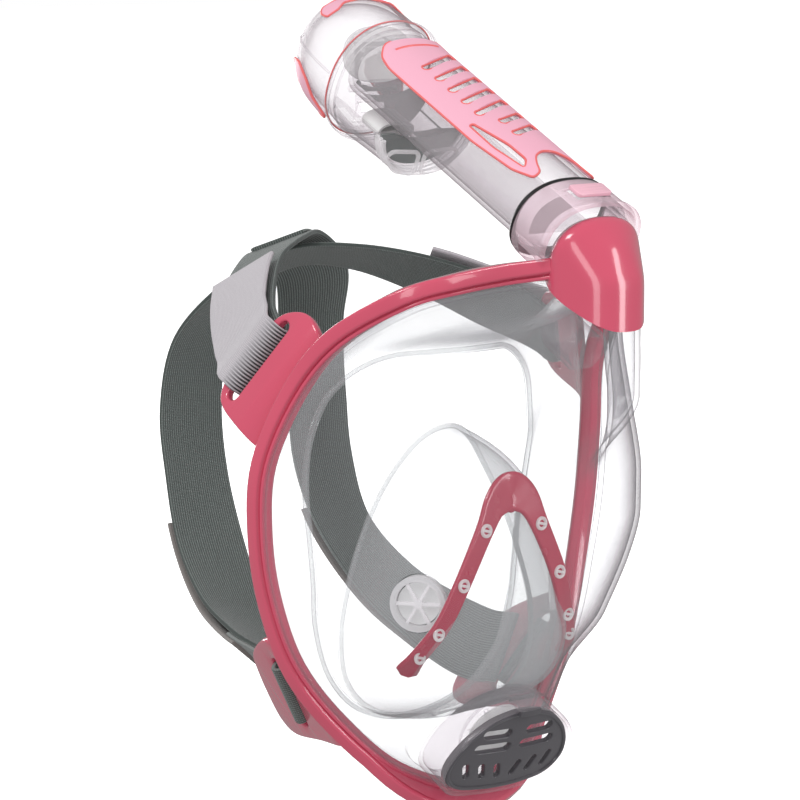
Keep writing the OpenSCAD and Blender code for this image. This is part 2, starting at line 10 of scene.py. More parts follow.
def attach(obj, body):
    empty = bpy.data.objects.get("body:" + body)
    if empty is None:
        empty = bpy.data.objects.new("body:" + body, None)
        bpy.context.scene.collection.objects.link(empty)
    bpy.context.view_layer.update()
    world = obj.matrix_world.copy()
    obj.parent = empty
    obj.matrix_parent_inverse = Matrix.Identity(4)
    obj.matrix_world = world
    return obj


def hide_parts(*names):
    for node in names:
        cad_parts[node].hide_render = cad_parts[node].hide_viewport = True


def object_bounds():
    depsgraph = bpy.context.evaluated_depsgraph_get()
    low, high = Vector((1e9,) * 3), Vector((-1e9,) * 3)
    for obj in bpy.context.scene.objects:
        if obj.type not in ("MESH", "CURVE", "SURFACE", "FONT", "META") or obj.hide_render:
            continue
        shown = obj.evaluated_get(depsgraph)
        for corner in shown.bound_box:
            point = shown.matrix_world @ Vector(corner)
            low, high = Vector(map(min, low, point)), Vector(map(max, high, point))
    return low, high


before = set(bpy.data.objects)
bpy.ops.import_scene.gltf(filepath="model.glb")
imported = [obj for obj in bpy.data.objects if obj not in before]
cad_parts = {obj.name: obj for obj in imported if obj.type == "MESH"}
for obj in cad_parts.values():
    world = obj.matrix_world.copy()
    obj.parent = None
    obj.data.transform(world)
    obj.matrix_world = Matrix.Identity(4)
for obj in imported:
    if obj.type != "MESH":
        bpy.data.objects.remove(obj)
cad_bounds = [list(corner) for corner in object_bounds()]
MM = 0.001

# ---- Curves ----


def unit(v):
    """Vectors of length one."""
    v = np.asarray(v, float)
    return v / np.linalg.norm(v, axis=-1, keepdims=True)


def smooth(t):
    """Smooth step from 0 to 1."""
    t = np.clip(t, 0, 1)
    return t * t * (3 - 2 * t)


def spline(points, steps, closed=False):
    """Smooth curve through the points, with that many steps on each span."""
    p = np.asarray(points, float)
    ends = (p[-1:], p[:2]) if closed else ([2 * p[0] - p[1]], [2 * p[-1] - p[-2]])
    p = np.vstack([ends[0], p, ends[1]])
    t = (np.arange(steps) / steps)[:, None]
    out = []
    for a, b, c, d in zip(p, p[1:], p[2:], p[3:]):
        bend = (2 * a - 5 * b + 4 * c - d) * t**2 + (3 * b - a - 3 * c + d) * t**3
        out.append(0.5 * (2 * b + (c - a) * t + bend))
    if not closed:
        out.append(p[-2:-1])
    return np.vstack(out)


def mirrored(half):
    """Whole loop from its +X half, whose first and last points lie on the middle plane."""
    half = np.asarray(half, float)
    return np.vstack([half, half[-2:0:-1] * [-1, 1, 1]])


def oval(a, b, e=2.3, n=96):
    """Rounded oval; e is 2 for an ellipse and more for a squarer one."""
    t = np.arange(n) * 2 * np.pi / n
    c, s = np.cos(t), np.sin(t)
    return np.stack([a * np.sign(c) * abs(c) ** (2 / e), b * np.sign(s) * abs(s) ** (2 / e)], -1)


def rounded(points, radius, steps=4):
    """Closed outline with its corners rounded; radius is one number or one for each corner."""
    p = np.asarray(points, float)
    radii = np.broadcast_to(radius, len(p))
    out = []
    for i, corner in enumerate(p):
        before, after = p[i - 1] - corner, p[(i + 1) % len(p)] - corner
        reach = min(radii[i], 0.45 * np.linalg.norm(before), 0.45 * np.linalg.norm(after))
        a, c = corner + unit(before) * reach, corner + unit(after) * reach
        for t in np.linspace(0, 1, steps):
            out.append((1 - t) ** 2 * a + 2 * t * (1 - t) * corner + t * t * c)
    return np.array(out)


def stadium(x, y, length, height, turn=0):
    """Outline of a slot with round ends."""
    t = np.radians(np.concatenate([np.linspace(-90, 90, 9), np.linspace(90, 270, 9)]))
    ends = np.repeat([1, -1], 9) * (length - height) / 2
    p = np.stack([ends + np.cos(t) * height / 2, np.sin(t) * height / 2], -1)
    a = math.radians(turn)
    return p @ np.array([[math.cos(a), math.sin(a)], [-math.sin(a), math.cos(a)]]) + [x, y]


# ---- Meshes ----


def raised(line, height):
    """Points of a flat line at one height."""
    return np.column_stack([line, np.full(len(line), height)])


def grid_faces(m, n, around=True, along=False):
    """Quads over m rows of n points; around closes each row, along joins the last row to the first."""
    rows, columns = range(m if along else m - 1), range(n if around else n - 1)
    return [
        (i * n + j, i * n + (j + 1) % n, (i + 1) % m * n + (j + 1) % n, (i + 1) % m * n + j)
        for i in rows
        for j in columns
    ]


def new_piece(name, points, faces, uv=None):
    """Object from points in millimetres, with its faces turned outward."""
    mesh = bpy.data.meshes.new(name)
    mesh.from_pydata((np.asarray(points, float).reshape(-1, 3) * MM).tolist(), [], faces)
    if uv is not None:
        layer = mesh.uv_layers.new(name="UVMap")
        corners = np.zeros(len(mesh.loops), np.int32)
        mesh.loops.foreach_get("vertex_index", corners)
        layer.data.foreach_set("uv", np.asarray(uv, float)[corners].ravel())
    obj = bpy.data.objects.new(name, mesh)
    bpy.context.scene.collection.objects.link(obj)
    edit(obj, lambda bm: bmesh.ops.recalc_face_normals(bm, faces=bm.faces))
    return obj


def edit(obj, change):
    bm = bmesh.new()
    bm.from_mesh(obj.data)
    change(bm)
    bm.to_mesh(obj.data)
    bm.free()
    obj.data.update()


def close_middle(obj, near):
    """Fills the small hole whose open edges lie near the middle of a surface."""
    def fill(bm):
        rim = [e for e in bm.edges if e.is_boundary and all(near(v.co) for v in e.verts)]
        bmesh.ops.contextual_create(bm, geom=rim)

    edit(obj, fill)


def joined(parts):
    """Points and faces of several (points, faces) parts as one."""
    points, faces, base = [], [], 0
    for p, f in parts:
        p = np.asarray(p, float).reshape(-1, 3)
        points.append(p)
        faces += [tuple(i + base for i in face) for face in f]
        base += len(p)
    return np.vstack(points), faces


def bar(sections, closed=False):
    """Points and faces of a bar through closed sections, with flat ends unless it is a closed ring."""
    sections = np.asarray(sections, float)
    m, n = sections.shape[:2]
    faces = grid_faces(m, n, True, closed)
    if not closed:
        faces += [tuple(reversed(range(n))), tuple((m - 1) * n + j for j in range(n))]
    return sections.reshape(-1, 3), faces


def wire(path, radius, closed=True, sides=8):
    """Round bar along a path."""
    path = np.asarray(path, float)
    if closed:
        along = unit(np.roll(path, -1, 0) - np.roll(path, 1, 0))
    else:
        along = unit(np.gradient(path, axis=0))
    side = unit(np.cross(along, [0.21, 0.35, 0.91]))
    up = np.cross(side, along)
    t = np.arange(sides) * 2 * np.pi / sides
    rings = path[:, None] + radius * (
        np.cos(t)[None, :, None] * side[:, None] + np.sin(t)[None, :, None] * up[:, None]
    )
    return bar(rings, closed)


def modify(obj, kind, **settings):
    modifier = obj.modifiers.new(kind.title(), kind)
    for key, value in settings.items():
        setattr(modifier, key, value)
    return obj


def bake(obj):
    """Applies the modifiers to the mesh."""
    graph = bpy.context.evaluated_depsgraph_get()
    mesh = bpy.data.meshes.new_from_object(obj.evaluated_get(graph))
    obj.modifiers.clear()
    obj.data = mesh
    return obj


def cut(obj, *cutters):
    """Takes the cutters out of obj and removes them."""
    for cutter in cutters:
        modify(obj, "BOOLEAN", operation="DIFFERENCE", object=cutter, solver="EXACT")
        bake(obj)
        bpy.data.objects.remove(cutter)
    return obj


def solid_wall(obj, thickness, offset=0.0):
    """Thickens a surface into a closed wall."""
    modify(obj, "SOLIDIFY", thickness=thickness * MM, offset=offset, use_even_offset=True)
    return bake(obj)


def shade(mesh, angle):
    """Smooth shading that keeps edges sharper than the angle."""
    mesh.shade_smooth()
    mesh.set_sharp_from_angle(angle=math.radians(angle))


def place(obj, material, body, slot, *nodes, angle=38):
    """Gives a finished piece smooth shading, its material and its body, and hides the CAD nodes that it
    stands for.
    """
    shade(obj.data, angle)
    obj.data.materials.clear()
    obj.data.materials.append(material)
    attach(obj, body)
    if nodes:
        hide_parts(*nodes)
    return obj


def plate(name, outlines, depth, bevel, cuts_x=(), cuts_y=()):
    """Flat plate from outlines in its own plane, with rounded edges, sliced so that it can be bent."""
    curve = bpy.data.curves.new(name, "CURVE")
    curve.dimensions, curve.fill_mode = "2D", "BOTH"
    curve.extrude = (depth / 2 - bevel) * MM
    curve.bevel_depth, curve.bevel_resolution, curve.offset = bevel * MM, 2, -bevel * MM
    for outline in outlines:
        line = curve.splines.new("POLY")
        line.points.add(len(outline) - 1)
        flat = [(x * MM, y * MM, 0, 1) for x, y in np.asarray(outline, float)]
        line.points.foreach_set("co", np.ravel(flat))
        line.use_cyclic_u = True
    drawn = bpy.data.objects.new(name, curve)
    bpy.context.scene.collection.objects.link(drawn)
    graph = bpy.context.evaluated_depsgraph_get()
    mesh = bpy.data.meshes.new_from_object(drawn.evaluated_get(graph))
    bpy.data.objects.remove(drawn)
    obj = bpy.data.objects.new(name, mesh)
    bpy.context.scene.collection.objects.link(obj)

    def slice_it(bm):
        bmesh.ops.remove_doubles(bm, verts=bm.verts, dist=2e-6)
        for axis, places in ((0, cuts_x), (1, cuts_y)):
            for value in places:
                point, normal = [0, 0, 0], [0, 0, 0]
                point[axis], normal[axis] = value * MM, 1
                everything = bm.verts[:] + bm.edges[:] + bm.faces[:]
                bmesh.ops.bisect_plane(bm, geom=everything, plane_co=point, plane_no=normal)
        bmesh.ops.recalc_face_normals(bm, faces=bm.faces)

    edit(obj, slice_it)
    return obj


def warp(obj, move):
    """Moves every point by a function from and to millimetres."""
    co = np.zeros(len(obj.data.vertices) * 3, np.float32)
    obj.data.vertices.foreach_get("co", co)
    moved = move(co.reshape(-1, 3).astype(float) / MM) * MM
    obj.data.vertices.foreach_set("co", moved.astype(np.float32).ravel())
    edit(obj, lambda bm: bmesh.ops.recalc_face_normals(bm, faces=bm.faces))
    return obj


def box_piece(low, high, move):
    """Cutter: a box in a local frame, put in place by move."""
    corners = [[(low, high)[k][i] for i, k in enumerate(pick)] for pick in np.ndindex(2, 2, 2)]
    faces = [(0, 1, 3, 2), (4, 6, 7, 5), (0, 4, 5, 1), (2, 3, 7, 6), (0, 2, 6, 4), (1, 5, 7, 3)]
    return new_piece("cutter", move(np.array(corners, float)), faces)


# ---- Materials ----


def new_material(name):
    """Material with its nodes, links and shader."""
    material = bpy.data.materials.new(name)
    material.use_nodes = True
    nodes = material.node_tree.nodes
    return material, nodes, material.node_tree.links, nodes["Principled BSDF"]


def noise(nodes, links, scale, detail=2.0):
    coordinates = nodes.new("ShaderNodeTexCoord")
    texture = nodes.new("ShaderNodeTexNoise")
    texture.inputs["Scale"].default_value = scale
    texture.inputs["Detail"].default_value = detail
    links.new(coordinates.outputs["Object"], texture.inputs["Vector"])
    return texture.outputs["Fac"]


def math_node(nodes, links, operation, a, b=None):
    node = nodes.new("ShaderNodeMath")
    node.operation = operation
    for socket, value in zip(node.inputs, (a, b)):
        if isinstance(value, (int, float)):
            socket.default_value = value
        elif value is not None:
            links.new(value, socket)
    return node.outputs[0]


def colour_mix(nodes, links, factor, a, b):
    node = nodes.new("ShaderNodeMix")
    node.data_type = "RGBA"
    links.new(factor, node.inputs["Factor"])
    for socket, value in ((node.inputs[6], a), (node.inputs[7], b)):
        if isinstance(value, tuple):
            socket.default_value = (*value, 1)
        else:
            links.new(value, socket)
    return node.outputs[2]


def spread(nodes, links, value, low, high):
    """Maps 0 to 1 onto low to high."""
    node = nodes.new("ShaderNodeMapRange")
    links.new(value, node.inputs["Value"])
    node.inputs["To Min"].default_value, node.inputs["To Max"].default_value = low, high
    return node.outputs[0]


def bump(nodes, links, shader, height, strength, distance):
    """Bump of a shader from a height."""
    node = nodes.new("ShaderNodeBump")
    node.inputs["Strength"].default_value = strength
    node.inputs["Distance"].default_value = distance * MM
    links.new(height, node.inputs["Height"])
    links.new(node.outputs["Normal"], shader.inputs["Normal"])
    return node


def moulded(name, colour, roughness, coat, grain=900, relief=0.05, vary=0.05):
    """Moulded plastic or rubber: slight colour drift, uneven gloss and a fine grain."""
    material, nodes, links, shader = new_material(name)
    darker = tuple(c * (1 - vary) for c in colour)
    lighter = tuple(min(1, c * (1 + vary)) for c in colour)
    links.new(colour_mix(nodes, links, noise(nodes, links, 28), darker, lighter), shader.inputs["Base Color"])
    uneven = spread(nodes, links, noise(nodes, links, 140, 3), roughness * 0.8, roughness * 1.25)
    links.new(uneven, shader.inputs["Roughness"])
    bump(nodes, links, shader, noise(nodes, links, grain, 1), relief, 0.2)
    shader.inputs["Coat Weight"].default_value = coat
    shader.inputs["Coat Roughness"].default_value = 0.04
    return material


def see_through(name, through, edge, film_and_glow, haze, rim, power, roughness, relief):
    """Clear or milky plastic: looked straight through it is faint. At grazing angles what passes is tinted to
    the edge colour, a painted shade standing in for darker surroundings seen in the edges, and the plastic
    glows faintly in its own tint, a painted glow that lifts its brightness.
    """
    material, nodes, links, shader = new_material(name)
    weight = nodes.new("ShaderNodeLayerWeight")
    weight.inputs["Blend"].default_value = 0.5
    glance = math_node(nodes, links, "POWER", weight.outputs["Facing"], power)
    passing = nodes.new("ShaderNodeBsdfTransparent")
    # Painted shade: toward grazing angles what passes is tinted to the edge colour, in place of darker
    # surroundings seen in the edges.
    links.new(colour_mix(nodes, links, glance, through, edge), passing.inputs["Color"])
    links.new(spread(nodes, links, noise(nodes, links, 40, 2), roughness * 0.7, roughness * 1.3),
              shader.inputs["Roughness"])
    tint = colour_mix(nodes, links, noise(nodes, links, 18, 2), film_and_glow, tuple(c * 0.96 for c in film_and_glow))
    links.new(tint, shader.inputs["Base Color"])
    bump(nodes, links, shader, noise(nodes, links, 60, 1), relief, 0.6)
    shader.inputs["Coat Weight"].default_value = 0.5
    shader.inputs["Coat Roughness"].default_value = 0.03
    # Painted glow: the tint is also emitted, so the plastic reads brighter than its lighting makes it.
    shader.inputs["Emission Color"].default_value = (*film_and_glow, 1)
    shader.inputs["Emission Strength"].default_value = 0.16
    mix = nodes.new("ShaderNodeMixShader")
    share = math_node(nodes, links, "ADD", math_node(nodes, links, "MULTIPLY", glance, rim), haze)
    links.new(share, mix.inputs["Fac"])
    links.new(passing.outputs["BSDF"], mix.inputs[1])
    links.new(shader.outputs["BSDF"], mix.inputs[2])
    links.new(mix.outputs["Shader"], nodes["Material Output"].inputs["Surface"])
    return material


def webbing_material(name, colour, fleck, pitch=1.15, wrap=0.0):
    """Ribbed elastic webbing, with painted shade in the gaps between its ribs over its first wrap
    millimetres. UV holds millimetres.
    """
    material, nodes, links, shader = new_material(name)
    coordinates = nodes.new("ShaderNodeUVMap")
    split = nodes.new("ShaderNodeSeparateXYZ")
    links.new(coordinates.outputs["UV"], split.inputs[0])
    across, along = split.outputs[0], split.outputs[1]

    def wave(value, length):
        """Sine between 0 and 1."""
        turned = math_node(nodes, links, "MULTIPLY", value, 2 * math.pi / length)
        half = math_node(nodes, links, "MULTIPLY", math_node(nodes, links, "SINE", turned), 0.5)
        return math_node(nodes, links, "ADD", half, 0.5)

    ribs = wave(across, pitch)
    picks = wave(along, pitch * 0.62)
    threads = math_node(nodes, links, "MULTIPLY", ribs, math_node(nodes, links, "ADD",
                        math_node(nodes, links, "MULTIPLY", picks, 0.55), 0.45))
    flecks = nodes.new("ShaderNodeTexNoise")
    flecks.inputs["Scale"].default_value = 1.9
    flecks.inputs["Detail"].default_value = 3
    links.new(coordinates.outputs["UV"], flecks.inputs["Vector"])
    flecked = spread(nodes, links, flecks.outputs["Fac"], -0.25, 1.35)
    speckle = math_node(nodes, links, "MULTIPLY", threads, flecked)
    worn = colour_mix(nodes, links, noise(nodes, links, 9, 2), tuple(c * 0.9 for c in colour), colour)
    shown = colour_mix(nodes, links, speckle, worn, fleck)
    # Painted shade: over the first wrap millimetres, where the webbing loops through its slot, the gaps
    # between ribs go nearly black.
    if wrap:
        near = nodes.new("ShaderNodeMapRange")
        near.inputs["From Min"].default_value, near.inputs["From Max"].default_value = 0.35 * wrap, wrap
        near.inputs["To Min"].default_value, near.inputs["To Max"].default_value = 1, 0
        links.new(along, near.inputs["Value"])
        ridges = math_node(nodes, links, "POWER", wave(across, 1.5), 1.5)
        shaded_gaps = math_node(nodes, links, "SUBTRACT", 1, ridges)
        shown = colour_mix(nodes, links, math_node(nodes, links, "MULTIPLY", shaded_gaps, near.outputs[0]),
                           shown, (0.02, 0.02, 0.02))
    links.new(shown, shader.inputs["Base Color"])
    links.new(spread(nodes, links, threads, 0.95, 0.75), shader.inputs["Roughness"])
    bump(nodes, links, shader, threads, 0.5, 0.35)
    shader.inputs["Sheen Weight"].default_value = 0.25
    shader.inputs["Sheen Roughness"].default_value = 0.5
    shader.inputs["Specular IOR Level"].default_value = 0.2
    return material


pink = moulded("frame_pink_gloss", (0.66, 0.085, 0.15), roughness=0.2, coat=0.9, grain=700, relief=0.03)
rose = moulded("stiffener_rose_gloss", (0.46, 0.04, 0.08), roughness=0.25, coat=0.5, grain=700, relief=0.03)
overlay_pink = moulded("overlay_soft_pink", (0.88, 0.44, 0.56), roughness=0.5, coat=0.1, grain=2400,
                       relief=0.12, vary=0.02)
salmon = moulded("overlay_edge_salmon", (0.86, 0.16, 0.16), roughness=0.42, coat=0.2, grain=2000,
                 relief=0.1, vary=0.03)
button_pink = moulded("button_pale_pink", (0.90, 0.50, 0.60), roughness=0.25, coat=0.6)
gunmetal = moulded("cover_gunmetal_satin", (0.085, 0.08, 0.09), roughness=0.3, coat=0.35, grain=3200,
                   relief=0.2, vary=0.08)
seal_black = moulded("seal_black_rubber", (0.012, 0.012, 0.013), roughness=0.4, coat=0.1, grain=1500,
                     relief=0.1)
flap_grey = moulded("flap_grey_silicone", (0.25, 0.27, 0.265), roughness=0.5, coat=0.0, grain=1200,
                    relief=0.15)
float_white = moulded("float_white_foam", (0.86, 0.86, 0.85), roughness=0.75, coat=0.0, grain=2600,
                      relief=0.5)
# In each see-through material the second colour is painted shade at the grazing edges, and each also glows
# faintly in its own tint, a painted glow.
lens_clear = see_through("lens_clear_plastic", (0.985, 0.985, 0.99), (0.22, 0.19, 0.21), (0.90, 0.90, 0.92),
                         haze=0.025, rim=0.3, power=4.5, roughness=0.04, relief=0.0)
clear = see_through("clear_moulded_plastic", (0.98, 0.97, 0.98), (0.34, 0.28, 0.31), (0.90, 0.86, 0.88),
                    haze=0.05, rim=0.3, power=4.4, roughness=0.06, relief=0.02)
tube_clear = see_through("tube_clear_plastic", (0.985, 0.98, 0.985), (0.33, 0.27, 0.30), (0.92, 0.90, 0.92),
                         haze=0.05, rim=0.35, power=3.0, roughness=0.05, relief=0.02)
skirt_milky = see_through("skirt_milky_silicone", (0.94, 0.945, 0.945), (0.42, 0.41, 0.43),
                          (0.82, 0.83, 0.84), haze=0.15, rim=0.34, power=3.6, roughness=0.2, relief=0.02)
valve_milky = see_through("valve_milky_silicone", (0.9, 0.9, 0.9), (0.6, 0.6, 0.6), (0.9, 0.9, 0.9),
                          haze=0.5, rim=0.3, power=2.0, roughness=0.35, relief=0.1)
guard_clear = see_through("guard_clear_plastic", (0.98, 0.97, 0.98), (0.6, 0.55, 0.57), (0.93, 0.92, 0.93),
                          haze=0.4, rim=0.3, power=2.6, roughness=0.05, relief=0.02)
collar_clear = see_through("collar_clear_plastic", (0.985, 0.93, 0.95), (0.40, 0.22, 0.28),
                           (0.95, 0.80, 0.86), haze=0.16, rim=0.45, power=2.6, roughness=0.05, relief=0.05)
strap_dark = webbing_material("strap_webbing_grey", (0.065, 0.078, 0.073), (0.36, 0.40, 0.385))
# The light tails carry painted shade in their rib gaps over their first 12 mm.
tail_light = webbing_material("tail_webbing_light", (0.50, 0.47, 0.50), (0.72, 0.69, 0.72), pitch=0.8,
                              wrap=12.0)
# Lower tails: grey tail webbing darkened to grey-brown, partly its own grey and partly painted shade.
tail_taupe = webbing_material("tail_webbing_painted_shade", (0.22, 0.20, 0.19), (0.33, 0.31, 0.30), pitch=0.8)
fold_grey = webbing_material("fold_webbing_grey", (0.16, 0.175, 0.17), (0.34, 0.36, 0.35), pitch=0.8)

# ---- Frame outline and lens surface ----

BAND_W, BAND_T = 9.0, 7.5
LENS_R, LENS_T, LENS_ZC, PROW_Y = 95.5, 2.2, -10.0, 130.0
FRAME_HALF = [(0, -117, 101), (17, -109, 100), (28, -90.5, 97), (42, -75, 92.5), (60, -62, 86),
              (75, -38, 69), (83, -20, 46), (91, -9, 15), (91, -6, -15), (86, -6, -45),
              (76, -10, -75), (58, -18, -101), (34, -28, -123), (0, -34, -134)]
rim_line = spline(mirrored(FRAME_HALF), 6, closed=True)


def dome_radius(z):
    """Radius of the plain dome at a height."""
    down, up = np.maximum(0, -12 - z), np.maximum(0, z - 2)
    return LENS_R - 0.43 * down**2 / (down + 12) - 0.36 * up**2 / (up + 38)


def prow_gain(z):
    """How far the prow stands in front of the dome."""
    return smooth((z - 2) / 46) * (PROW_Y - dome_radius(z)) * (1 - 0.25 * np.maximum(0, (z - 78) / 25))


def prow_bell(azimuth):
    """Share of the prow at an angle from the middle."""
    return 1 / (1 + (abs(azimuth) / 10.2) ** 3.2)


def lens_points(b, r):
    """Points of the lens between its middle and the frame points b, r from 0 to 1."""
    azimuth = np.degrees(np.arctan2(b[:, 0], -b[:, 1]))
    rim = np.linalg.norm(b[:, :2], axis=1) - dome_radius(b[:, 2]) - prow_gain(b[:, 2]) * prow_bell(azimuth)
    z = LENS_ZC + r * (b[:, 2] - LENS_ZC)
    steep = 3 + 4 * np.clip((-b[:, 2] - 60) / 74, 0, 1)
    turn = np.radians(r * azimuth)
    dip = 7 * smooth((-58 - z) / 22) * np.sin(2 * turn) ** 2 * (1 - r**6)
    q = dome_radius(z) + prow_gain(z) * prow_bell(r * azimuth) + rim * r**steep - dip
    return np.stack([q * np.sin(turn), -q * np.cos(turn), z], -1)


near_rim, at_rim = lens_points(rim_line, 0.91), lens_points(rim_line, 1.0)
rim_out = unit(at_rim - near_rim)
rim_normal = unit(np.cross(np.roll(at_rim, -1, 0) - np.roll(at_rim, 1, 0), at_rim - near_rim))


def beside(w, h):
    """Points beside the frame line: w outward along the lens, h away from the face."""
    w, h = np.asarray(w, float).reshape(-1, 1), np.asarray(h, float).reshape(-1, 1)
    return rim_line + w * rim_out + h * rim_normal


def turned_x(origin, degrees):
    """Function from a local frame turned about X to the object's frame."""
    a = math.radians(degrees)
    turn = np.array([[1, 0, 0], [0, math.cos(a), -math.sin(a)], [0, math.sin(a), math.cos(a)]])
    return lambda p: np.asarray(p, float) @ turn.T + origin


at_chin = turned_x(np.array([0, -60.2, -108.7]), 116.2)
along_tube = turned_x(np.array([0, -107.4, 112.2]), 26.7 - 90)
CHIN_HALF = [(0, 20), (10, 18.6), (19, 14.8), (28, 6.5), (33, -4), (32, -12.5), (25, -18.5),
             (12, -20.5), (0, -21)]
chin_line = spline(mirrored(raised(CHIN_HALF, 0)), 5, closed=True)[:, :2]


def chin_shape(grow):
    """Outline of the chin opening, grown by that much at its sides."""
    return chin_line * (1 + grow / 26)


def prism(outline, low, high, move):
    """Straight solid on an outline, from low to high in a local frame."""
    rings = [raised(outline, z) for z in (low, high)]
    points, faces = bar(np.array(rings))
    return new_piece("prism", move(points), faces)


def make_frame():
    """Ring with a flat outer face, a groove and a low inner lip; a keel runs forward under the chin."""
    half_w, half_t = BAND_W / 2, BAND_T / 2
    corners = [(-half_w, -half_t), (-half_w, 2.1), (-3.0, 2.4), (-2.5, 1.2), (-1.7, half_t), (half_w, half_t),
               (half_w, -half_t)]
    section = rounded(corners, [0.8, 0.7, 0.5, 0.4, 0.9, 1.4, 1.2])
    keel = 7 * smooth((-112 - rim_line[:, 2]) / 18)
    rings = [beside(w, h + (keel * (w > -3) if h > 0 else 0)) for w, h in section]
    points, faces = bar(np.stack(rings, 1), closed=True)
    place(new_piece("frame_ring", points, faces), pink, "mask", "frame_pink", "frame", angle=50)


# Raised flange of the lens: share of the way out to the frame, height
FLANGE = [(0.25, 0), (0.42, 0), (0.5, 1.1), (0.6, 1.3), (0.72, 1.3), (0.78, 0.4), (0.84, 0.4), (0.89, 1.3),
          (1.0, 1.3)]


def make_lens():
    """Domed lens with a raised flange where it meets the frame, open at the chin."""
    rows = [lens_points(rim_line, r) for r in np.concatenate([[0.02, 0.06], np.linspace(0.1, 0.91, 28)])]
    flange_edge = beside(-BAND_W / 2 - 0.4, 0)
    for t, lift in FLANGE:
        rows.append(near_rim + t * (flange_edge - near_rim) + lift * rim_normal)
    wall = new_piece("lens_wall", np.array(rows), grid_faces(len(rows), len(rim_line)))
    close_middle(wall, lambda p: abs(p.x) < 3 * MM and abs(p.z - LENS_ZC * MM) < 4 * MM)
    solid_wall(wall, LENS_T)
    cut(wall, prism(chin_shape(2.6), -30, 30, at_chin))
    place(wall, lens_clear, "mask", "lens_clear", "lens", angle=50)


SKIRT_T, POCKET_T = 2.0, 1.8
OPENING_HALF = [(0, -32, 58), (16, -28, 57.5), (32, -20, 56), (45, -13, 50), (55, -7, 40), (60, -3, 26),
                (62, -1, 12), (61, 1, -4), (58, 2, -22), (56, 2, -42), (54, 3, -62), (46, 4, -84),
                (28, 6, -101), (0, 8, -108)]


def make_skirt():
    """Silicone from the back of the frame, out and in to the face opening, with a rolled lip."""
    opening = spline(mirrored(OPENING_HALF), 6, closed=True)
    start = beside(1.5, -BAND_T / 2 - 1.4)
    bulge = (18 * smooth((75 - rim_line[:, 2]) / 60) + 4)[:, None]
    dip = 30 * smooth((42 - abs(rim_line[:, 0])) / 16) * smooth((rim_line[:, 2] - 60) / 20)
    fall = np.stack([0 * dip, 0.4 * bulge[:, 0], -dip], -1)
    leave = start + rim_out * bulge * 0.5 - rim_normal * bulge * 0.4 + fall
    arrive = opening + np.stack([opening[:, 0] * 0.12, np.full(len(opening), 11.0), opening[:, 2] * 0.12], -1)
    rows = [(1 - t) ** 3 * start + 3 * t * (1 - t) ** 2 * leave + 3 * t * t * (1 - t) * arrive
            + t**3 * opening for t in np.linspace(0, 1, 25)]
    skin = new_piece("skirt_skin", np.array(rows), grid_faces(len(rows), len(rim_line)))
    place(solid_wall(skin, SKIRT_T), skirt_milky, "mask", "skirt_silicone", "skirt", angle=60)
    place(new_piece("skirt_lip", *wire(opening + [0, 0.6, 0], 1.5)), skirt_milky, "mask", "skirt_silicone")


# ---- Oronasal pocket, its stiffener and valves ----

POCKET_HALF = [(0, -19, 24), (13, -16, 19), (26, -12, 4), (37, -11, -14), (47, -11, -38), (53, -12, -62),
               (50, -13, -84), (34, -15, -98), (0, -17, -103)]
POCKET_FRONT = np.array([0, -61, -48])
STIFFENER_HALF = [(0, -61, 4), (8.5, -61.5, -2), (15.2, -62, -14.3), (26.5, -61, -36.6), (34, -57, -54),
                  (41.5, -50.2, -67), (44.5, -44.5, -75)]
ARM_W = 8.2
STUDS = [(15.2, -62, -14.3), (26.5, -61, -36.6), (35.8, -55.8, -57), (41.5, -50.2, -67)]
SEAT_PLACE, SEAT_TURN = np.array([38, -46.5, -45]), math.radians(52)
SEAT_X = np.array([math.cos(SEAT_TURN), math.sin(SEAT_TURN), 0])
SEAT_OUT = np.array([math.sin(SEAT_TURN), -math.cos(SEAT_TURN), 0])


def seat_points(side):
    """Function from the frame of an inhale valve, its third axis out of the pocket."""
    def move(p):
        p = np.asarray(p, float)
        return (SEAT_PLACE + p[:, :1] * SEAT_X + p[:, 1:2] * [0, 0, 1] + p[:, 2:] * SEAT_OUT) * [side, 1, 1]
    return move


def circle(radius, n=48):
    return oval(radius, radius, 2, n)


def make_pocket():
    """Silicone dome over nose and mouth, with two valve holes and the chin hole."""
    edge = spline(mirrored(POCKET_HALF), 8, closed=True)
    fullness = 5.2 + 3.5 * smooth((edge[:, 2] + 38) / 50)
    rows = []
    for r in np.concatenate([[0.03, 0.1, 0.18], np.linspace(0.25, 1, 26)]):
        row = POCKET_FRONT + r * (edge - POCKET_FRONT)
        row[:, 1] = POCKET_FRONT[1] + (edge[:, 1] - POCKET_FRONT[1]) * r**fullness
        rows.append(row)
    skin = new_piece("pocket_skin", np.array(rows), grid_faces(len(rows), len(edge)))
    close_middle(skin, lambda p: abs(p.x) < 5 * MM and p.y < -50 * MM)
    solid_wall(skin, POCKET_T)
    holes = [prism(circle(12.4), -9, 9, seat_points(side)) for side in (1, -1)]
    cut(skin, *holes, prism(circle(15), -60, 0, at_chin))
    place(skin, skirt_milky, "mask", "skirt_silicone", "oronasal_pocket", angle=60)
    place(new_piece("pocket_edge", *wire(edge, 1.3)), skirt_milky, "mask", "skirt_silicone")


def band_frames(points, sides):
    """Tangent, side and outward directions along a band."""
    along = unit(np.gradient(points, axis=0))
    side = unit(sides - along * (sides * along).sum(1, keepdims=True))
    return along, side, np.cross(side, along)


def band_section(width, thick, across, dish, round_by):
    """Closed section of a band as (across, out) points, with round edges."""
    x = np.linspace(-width / 2 + round_by, width / 2 - round_by, across)
    top = np.column_stack([x, thick / 2 - dish * (1 - (2 * x / width) ** 2)])
    t = np.radians([60, 20, -20, -60])
    edge = np.column_stack([width / 2 - round_by + np.cos(t) * round_by, np.sin(t) * thick / 2])
    back = np.column_stack([x[::-1], np.full(across, -thick / 2)])
    return np.vstack([top, edge, back, (edge * [-1, 1])[::-1]])


